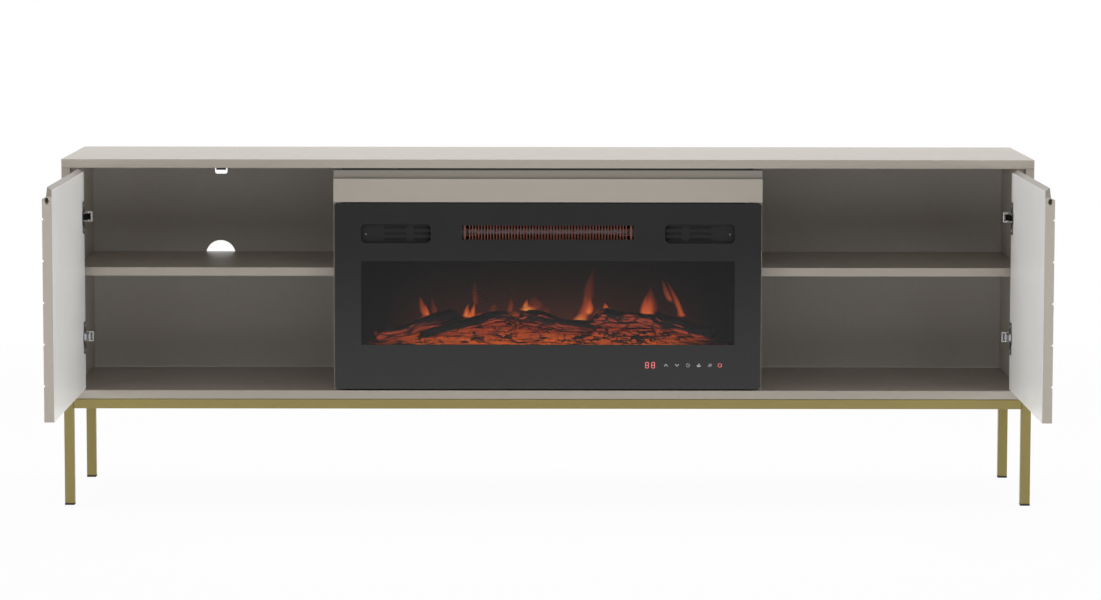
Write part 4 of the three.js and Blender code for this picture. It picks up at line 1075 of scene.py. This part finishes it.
    def log(self, number, log, bark_depth, finish):
        """A tapered, bent stick with ridged bark and broken ends."""
        start, end = (Vector(point) * MM for point in log[:2])
        radii, seed, chars = log[2:]
        radius = max(radii) * MM
        length = (end - start).length
        form = bmesh.new()
        bmesh.ops.create_cone(form, cap_ends=True, cap_tris=False, segments=48,
                              radius1=radii[0] * MM, radius2=radii[1] * MM, depth=length)
        uprights = [edge for edge in form.edges
                    if abs(edge.verts[0].co.z - edge.verts[1].co.z) > length / 2]
        bmesh.ops.subdivide_edges(form, edges=uprights, cuts=90, use_grid_fill=False)
        caps = [face for face in form.faces if len(face.verts) > 4]
        for share in (0.12, 0.18, 0.24):
            bmesh.ops.inset_region(form, faces=caps, thickness=radius * share,
                                   use_even_offset=True)
        bmesh.ops.poke(form, faces=caps)
        grain_layer = form.verts.layers.float_vector.new("grain")
        char_layer = form.verts.layers.float.new("char")
        shift = Vector((seed, seed * 2.3, seed * 0.7))
        high_end = math.copysign(1, end.z - start.z)
        for vert in form.verts:
            vert[grain_layer] = vert.co + shift
            share = vert.co.z / length + 0.5
            vert[char_layer] = chars[0] + (chars[1] - chars[0]) * share ** 2
            self.roughen(vert, length, radius, shift, bark_depth)
            chamfer = max(0.0, (share - 0.5) * high_end - 0.3) / 0.2
            vert.co.z += high_end * vert.co.x * 0.75 * chamfer
        bmesh.ops.transform(form, matrix=aimed(start, end), verts=form.verts)
        new_piece(f"log_{number}", form, finish, smooth_angle=70.0)

    def roughen(self, vert, length, radius, shift, depth):
        """Moves one point of a straight stick to its place on the bark."""
        place = vert.co.copy()
        reach = math.hypot(place.x, place.y)
        along = place.z / length
        around = Vector((place.x, place.y, 0)).normalized() if reach > 1e-6 else Vector()

        def at(turn, run):
            return Vector((around.x * turn, around.y * turn, place.z / radius * run))

        ridge = noise.ridged_multi_fractal(at(2.6, 0.35) + shift, 0.9, 2.1, 4, 1.0, 2.0)
        knot = noise.noise(at(1.0, 0.55) + shift * 3)
        plate = noise.cell(at(2.2, 0.5) + shift)
        taper = 1.0 - 0.12 * max(0.0, abs(along) * 2 - 0.9) / 0.1
        growth = 1 + 0.16 * knot + depth / radius * (0.55 * ridge - 0.5 + 0.45 * plate)
        bend = noise.noise(Vector((0, 0, along * 2.2)) + shift * 5) * radius * 0.5
        vert.co.x = place.x * growth * taper + bend
        vert.co.y = place.y * growth * taper
        if abs(along) > 0.47:
            jag = noise.noise(Vector((place.x, place.y, 0)) / radius * 2.4 + shift * 7)
            vert.co.z += math.copysign(1, along) * jag * radius * 0.45


# Each tongue: foot x and z, tip x and z, width, heat from 0 (faint) to 1 (bright), in millimetres
TONGUES = (
    (-254, 381, -266, 427, 14, 0.5), (-248, 379, -257, 410, 7, 0.85),
    (-256, 376, -258, 388, 16, 0.5),
    (-236, 386, -241, 424, 10, 0.2),
    (-172, 381, -165, 411, 9, 0.92), (-158, 381, -153, 414, 8, 0.92),
    (-165, 380, -163, 396, 22, 0.8), (-144, 381, -141, 394, 12, 0.4),
    (-150, 404, -154, 462, 11, 0.15),
    (-113, 394, -113, 412, 11, 0.16),
    (-79, 390, -76, 427, 9, 0.25), (-67, 382, -66, 396, 18, 0.35),
    (-46, 396, -44, 421, 10, 1.0), (-40, 394, -47, 408, 24, 1.0), (-31, 394, -24, 428, 28, 0.22),
    (-2, 388, -2, 407, 9, 0.18),
    (67, 366, 71, 396, 22, 1.0), (73, 372, 80, 432, 17, 0.5), (84, 386, 91, 424, 14, 0.9),
    (80, 404, 97, 490, 18, 0.19), (98, 376, 106, 404, 10, 0.3),
    (122, 396, 119, 413, 9, 0.9),
    (210, 380, 219, 448, 24, 0.4), (202, 378, 204, 430, 14, 0.9),
    (209, 378, 212, 428, 16, 0.68),
    (282, 382, 250, 460, 10, 0.52), (280, 382, 277, 399, 15, 0.5), (258, 412, 236, 464, 11, 0.38),
)


class STAND_OT_flames(bpy.types.Operator):
    """Flames thrown on the screen behind the logs"""
    bl_idname = "stand.flames"
    bl_label = "Flames"

    def execute(self, context):
        strength = context.scene.stand_flames.strength
        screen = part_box("flame_screen")[0].y
        clearance, layer_step = 0.35 * MM, 0.25 * MM
        for number, (*places, width, heat) in enumerate(TONGUES, start=1):
            self.tongue(number, *places, width, self.finish(number, heat, strength),
                        screen - clearance - layer_step * (number % 3))
        return {"FINISHED"}

    def finish(self, number, heat, strength):
        """Yellow at the foot, orange above, clear at the edges and torn by a slow noise."""
        finish = Finish(f"flame_{number}", "smoked_screen", Emission_Strength=strength,
                        Roughness=0.9, Base_Color=grey(0.0))
        side, height, _ = finish.axes(finish.layer("flow"))
        wisp = finish.noise(70.0, detail=4.0, distortion=0.6, stretch=(1.0, 1.0, 0.35))
        core = (1.0 - side * side).clamped() ** 2.0
        fade = ((1.0 - height) ** 0.8) * height.above(0.08, 0.16)
        body = (core * fade * (0.6 + wisp * 0.8)).clamped()
        hot = (body * (1.0 - height * 1.1).clamped() * 1.35 * heat).clamped()
        yellow = max(0.0, (heat - 0.92) / 0.08)
        foot = (1.0, 0.25 + 0.27 * yellow, 0.045 + 0.045 * yellow)
        colour = finish.mix(hot, (0.72, 0.095, 0.026), foot)
        finish.surface(Emission_Color=finish.mix(height * 0.7, colour, (0.5, 0.075, 0.03)),
                       Alpha=(body * (1.05 * heat ** 1.3)).clamped())
        return finish

    def tongue(self, number, x0, z0, x1, z1, width, finish, y):
        """A curling, tapering leaf of flame, a fraction of a millimetre thick."""
        form = bmesh.new()
        flow = form.verts.layers.float_vector.new("flow")
        bmesh.ops.create_grid(form, x_segments=10, y_segments=34, size=0.5)
        least = 0.12
        for vert in form.verts:
            side, height = vert.co.x * 2, vert.co.y + 0.5
            vert[flow] = (side, height, 0)
            half = width * 0.85 * (0.42 + 0.62 * math.sin(math.pi * height ** 0.7)) * (
                1 - height ** 2.2) ** 0.8
            curl = math.sin(height * 4.4 + number * 1.7) * width * 0.16 * height
            x = x0 + (x1 - x0) * height + curl + side * max(half, least)
            vert.co = (x * MM, y, (z0 + (z1 - z0) * height) * MM)
        form.normal_update()
        bmesh.ops.solidify(form, geom=form.faces, thickness=0.12 * MM)
        bmesh.ops.recalc_face_normals(form, faces=form.faces)
        new_piece(f"flame_{number}", form, finish)


# Controls

def arc(radius, start, end, steps=18):
    """Points of an arc about the origin, with its angles in degrees from +X."""
    angles = [math.radians(start + (end - start) * i / steps) for i in range(steps + 1)]
    return [(radius * math.cos(angle), radius * math.sin(angle)) for angle in angles]


def key_symbols():
    """The six touch keys from left to right: the middle's x, the lines about it, the kind and the
    lines' radius, in millimetres."""
    up = [(-3.5, -2.2), (0, 2.2), (3.5, -2.2)]
    down = [(x, -z) for x, z in up]
    leaf = [(-3.4, -2.6), (-3.0, -0.6), (-1.6, 0.2), (-0.8, -0.4), (-0.6, 1.6), (0.9, 3.4),
            (1.0, 1.2), (2.2, 0.2), (3.6, -1.0), (3.2, -2.6), (-3.4, -2.6)]
    wave = [[(x, -3.0), (x - 1.0, -1.4), (x + 1.0, 1.0), (x, 3.0)] for x in (-2.4, 0.0, 2.4)]
    return (
        (244.2, [up], "key", 0.8),
        (266.9, [down], "key", 0.8),
        (289.7, [arc(3.7, 70, 400), [(0, 2.0), (0, 0), (1.6, -0.8)]], "faint", 0.45),
        (311.8, [leaf, [(-1.8, -1.6), (2.0, -1.6)]], "key", 0.6),
        (335.1, wave, "faint", 0.6),
        (355.4, [arc(3.7, 115, 425), [(0, 4.5), (0, 3.0)]], "power", 0.5),
    )


class STAND_OT_controls(bpy.types.Operator):
    """Two-digit display and six touch keys on the glass, and the circuit behind them"""
    bl_idname = "stand.controls"
    bl_label = "Controls"

    def execute(self, context):
        settings = context.scene.stand_controls
        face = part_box("front_glass")[0].y
        finishes = {"power": self.lit_finish("display_red", settings.display_colour, 1.0),
                    "key": self.lit_finish("key_grey", settings.key_colour, 0.8),
                    "faint": self.lit_finish("key_faint", settings.key_colour, 0.5)}
        display_x, display_z, key_z = 212.8, 287.2, 292.8
        self.symbol("display_digits", self.digits(), (display_x, display_z), settings.stroke / 2,
                    face, finishes["power"])
        for number, (x, lines, kind, radius) in enumerate(key_symbols(), start=1):
            self.symbol(f"touch_key_{number}", lines, (x, key_z), radius * MM, face,
                        finishes[kind])
        self.board()
        return {"FINISHED"}

    def lit_finish(self, name, colour, strength):
        """Printed symbol lit from behind, a little uneven."""
        finish = Finish(name, "circuit", Emission_Strength=strength, Base_Color=shade(colour, 0.4))
        patch = finish.noise(900.0)
        finish.surface(Roughness=0.25 + patch * 0.2,
                       Emission_Color=finish.tone(patch, colour, 0.7, 1.0))
        return finish

    def digits(self):
        """Two eights and a point, in millimetres from the display's lower middle."""
        width, height, lean, pull = 6.3, 11.6, 0.02, 0.5
        bars = [((0, z), (1, z)) for z in (1, 0.5, 0)]
        bars += [((x, z), (x, z + 0.5)) for z in (0.5, 0) for x in (0, 1)]
        lines = []
        for left in (-11.1, 1.5):
            for ends in bars:
                start, end = (Vector((left + x * width, z * height)) for x, z in ends)
                step = (end - start).normalized() * pull
                lines.append([(p.x + p.y * lean, p.y) for p in (start + step, end - step)])
        lines.append([(10.9, 0.1), (11.4, 0.1)])
        return lines

    def symbol(self, name, lines, origin, radius, face, finish):
        """Strokes as flat-laid tubes, let into the face of the glass."""
        thickness = 0.12 * MM
        form = bmesh.new()
        add_swept(form, [[((origin[0] + x) * MM, 0, (origin[1] + z) * MM) for x, z in line]
                         for line in lines], radius)
        bmesh.ops.scale(form, vec=(1, thickness / radius, 1), verts=form.verts)
        bmesh.ops.translate(form, vec=(0, face, 0), verts=form.verts)
        new_piece(name, form, finish)

    def board(self):
        """Green circuit with tracks and solder."""
        finish = Finish("circuit_board", "circuit")
        track = finish.cells(160.0, stretch=(1.0, 0.3, 1.0))
        pad = finish.noise(700.0, detail=1.0)
        copper = 1.0 - track.above(0.05, 0.03)
        finish.surface(Base_Color=finish.mix(copper, (0.01, 0.06, 0.022), (0.05, 0.16, 0.06)),
                       Metallic=pad.above(0.72, 0.04) * 0.8, Roughness=0.3 + pad * 0.2)
        finish.relief(copper, 0.05 * MM, 0.6)
        dress(finish, "control_board", "led_strip")


class STAND_OT_drive(bpy.types.Operator):
    """Flame spindle, its motor, the fan with its motor, and the mains gland"""
    bl_idname = "stand.drive"
    bl_label = "Drive and fan"

    def execute(self, context):
        dress(nickel_finish("flag_foil", (0.62, 0.64, 0.66), 0.08, "mirror_foil"),
              "flame_spindle")
        motor = nickel_finish("motor_can", grey(0.5), 0.3)
        for node in ("spindle_motor", "blower_motor"):
            eased_copy(node, motor, 0.5 * MM)
        dress(powder_finish("fan_coat", "dark_steel", (0.035, 0.035, 0.037)), "blower_wheel")
        gland = moulded_finish("gland_plastic", "foot_plastic", grey(0.02), 500.0)
        eased_copy("cord_gland", gland, 0.6 * MM)
        return {"FINISHED"}


# Stage

# Each softbox: its name, place, target, size and power setting
SOFTBOXES = (
    ("overhead_softbox", (0, 0.9, 3.4), (0, 0.6, 0.3), (4.6, 2.4), "key_power"),
    ("front_softbox", (0, -2.6, 2.0), (0, 0.1, 0.5), (3.6, 0.7), "front_power"),
    ("floor_fill", (0, -1.5, 0.03), (0, -1.5, 1.0), (3.4, 1.2), "fill_power"),
    ("low_softbox_left", (-3.8, -2.5, 0.45), (0, 0.1, 0.5), (2.4, 0.7), "side_power"),
    ("low_softbox_right", (3.8, -2.5, 0.45), (0, 0.1, 0.5), (2.4, 0.7), "side_power"),
)


class STAND_OT_stage(bpy.types.Operator):
    """Pale floor, white studio, soft light and the camera"""
    bl_idname = "stand.stage"
    bl_label = "Stage"

    def execute(self, context):
        settings = context.scene.stand_stage
        self.floor()
        self.world(context, settings.ambient)
        for name, place, target, size, power in SOFTBOXES:
            self.softbox(name, place, target, size, getattr(settings, power))
        self.camera(context, settings.lens)
        return {"FINISHED"}

    def floor(self):
        """White as it is seen and mirrored, a little less so in front, and pale under the light,
        with the object's shadow."""
        finish = Finish("pale_floor", Roughness=0.9)
        cloud = finish.noise(1.2, detail=3.0)
        finish.surface(Base_Color=finish.mix(cloud, grey(0.93), grey(0.97)))
        across, along, _ = finish.axes()
        seen = finish.rays("Is Camera Ray", "Is Glossy Ray", "Is Transmission Ray")
        far = (across * across + along * along).above(9.0, 10.0)
        falloff = finish.maths("MAXIMUM", 0.54, (1.22 + along * 0.115).clamped())
        white = finish.node("ShaderNodeEmission", values={
            "Color": grey(1.0), "Strength": 1.0 - finish.rays("Is Glossy Ray") * (1.0 - falloff)})
        blend = finish.node("ShaderNodeMixShader", values={
            0: seen * (0.95 + far * 0.05), 1: finish.shader.outputs[0], 2: white.outputs[0]})
        finish.feed(finish.output.inputs["Surface"], blend.outputs[0])
        form = bmesh.new()
        bmesh.ops.create_circle(form, cap_ends=True, segments=96, radius=16.0)
        new_object("studio_floor", form, finish)

    def world(self, context, ambient):
        """White where it is seen or mirrored, and an even faint light elsewhere."""
        world = bpy.data.worlds.new("white_studio")
        world.use_nodes = True
        nodes = Nodes(world.node_tree)
        seen = nodes.rays("Is Camera Ray", "Is Glossy Ray", "Is Transmission Ray")
        background = world.node_tree.nodes["Background"]
        nodes.feed(background.inputs["Color"], grey(1.0))
        nodes.feed(background.inputs["Strength"], ambient + seen * (1.0 - ambient))
        context.scene.world = world

    def softbox(self, name, place, target, size, power):
        """A rectangular lamp. Only the overhead one shows in glass and metal."""
        light = bpy.data.lights.new(name, "AREA")
        light.shape = "RECTANGLE"
        light.size, light.size_y = size
        light.energy = power
        lamp = bpy.data.objects.new(name, light)
        aim = (Vector(target) - Vector(place)).to_track_quat("-Z", "Y").to_matrix().to_4x4()
        lamp.matrix_world = Matrix.Translation(place) @ aim
        lamp.visible_camera = False
        lamp.visible_glossy = name.startswith("overhead")
        bpy.context.scene.collection.objects.link(lamp)

    def camera(self, context, lens):
        place = (-0.02066, -8.04112, 1.24588)
        pitch, yaw, roll = (math.radians(angle) for angle in (5.7707, 0.18481, 0.08041))
        camera = bpy.data.cameras.new("photo_camera")
        camera.lens = lens
        camera.sensor_width = 36.0
        camera.clip_end = 60.0
        holder = bpy.data.objects.new("photo_camera", camera)
        holder.matrix_world = (Matrix.Translation(place) @ Matrix.Rotation(-yaw, 4, "Z")
                               @ Matrix.Rotation(math.pi / 2 - pitch, 4, "X")
                               @ Matrix.Rotation(roll, 4, "Z"))
        context.scene.collection.objects.link(holder)
        context.scene.camera = holder
        context.scene.view_settings.view_transform = "Standard"


# Panel and start

OPERATORS = (STAND_OT_stage, STAND_OT_boards, STAND_OT_doors, STAND_OT_backs, STAND_OT_base,
             STAND_OT_hinges, STAND_OT_glass, STAND_OT_vents, STAND_OT_heater, STAND_OT_firebox,
             STAND_OT_fuel, STAND_OT_flames, STAND_OT_controls, STAND_OT_drive)
SETTINGS = {"stand_boards": BoardSettings, "stand_base": BaseSettings,
            "stand_hinges": HingeSettings, "stand_glass": GlassSettings,
            "stand_heater": HeaterSettings, "stand_fuel": FuelSettings,
            "stand_flames": FlameSettings, "stand_controls": ControlSettings,
            "stand_stage": StageSettings}


class STAND_PT_panel(bpy.types.Panel):
    """Lists the stand's settings and the operators that build it"""
    bl_idname = "STAND_PT_panel"
    bl_label = "Fireplace TV Stand"
    bl_space_type = "VIEW_3D"
    bl_region_type = "UI"
    bl_category = "TV Stand"

    def draw(self, context):
        for holder, group in SETTINGS.items():
            box = self.layout.box()
            box.label(text=group.__doc__)
            for name in group.__annotations__:
                box.prop(getattr(context.scene, holder), name)
        for operator in OPERATORS:
            self.layout.operator(operator.bl_idname)


def register():
    for group in (*SETTINGS.values(), *OPERATORS, STAND_PT_panel):
        bpy.utils.register_class(group)
    for holder, group in SETTINGS.items():
        setattr(bpy.types.Scene, holder, PointerProperty(type=group))


def unregister():
    for holder in SETTINGS:
        delattr(bpy.types.Scene, holder)
    for group in (STAND_PT_panel, *reversed(OPERATORS), *SETTINGS.values()):
        bpy.utils.unregister_class(group)


def main():
    """Builds the whole stand."""
    register()
    for operator in OPERATORS:
        group, name = operator.bl_idname.split(".")
        getattr(getattr(bpy.ops, group), name)()
    bpy.context.view_layer.update()


if __name__ == "__main__":
    main()
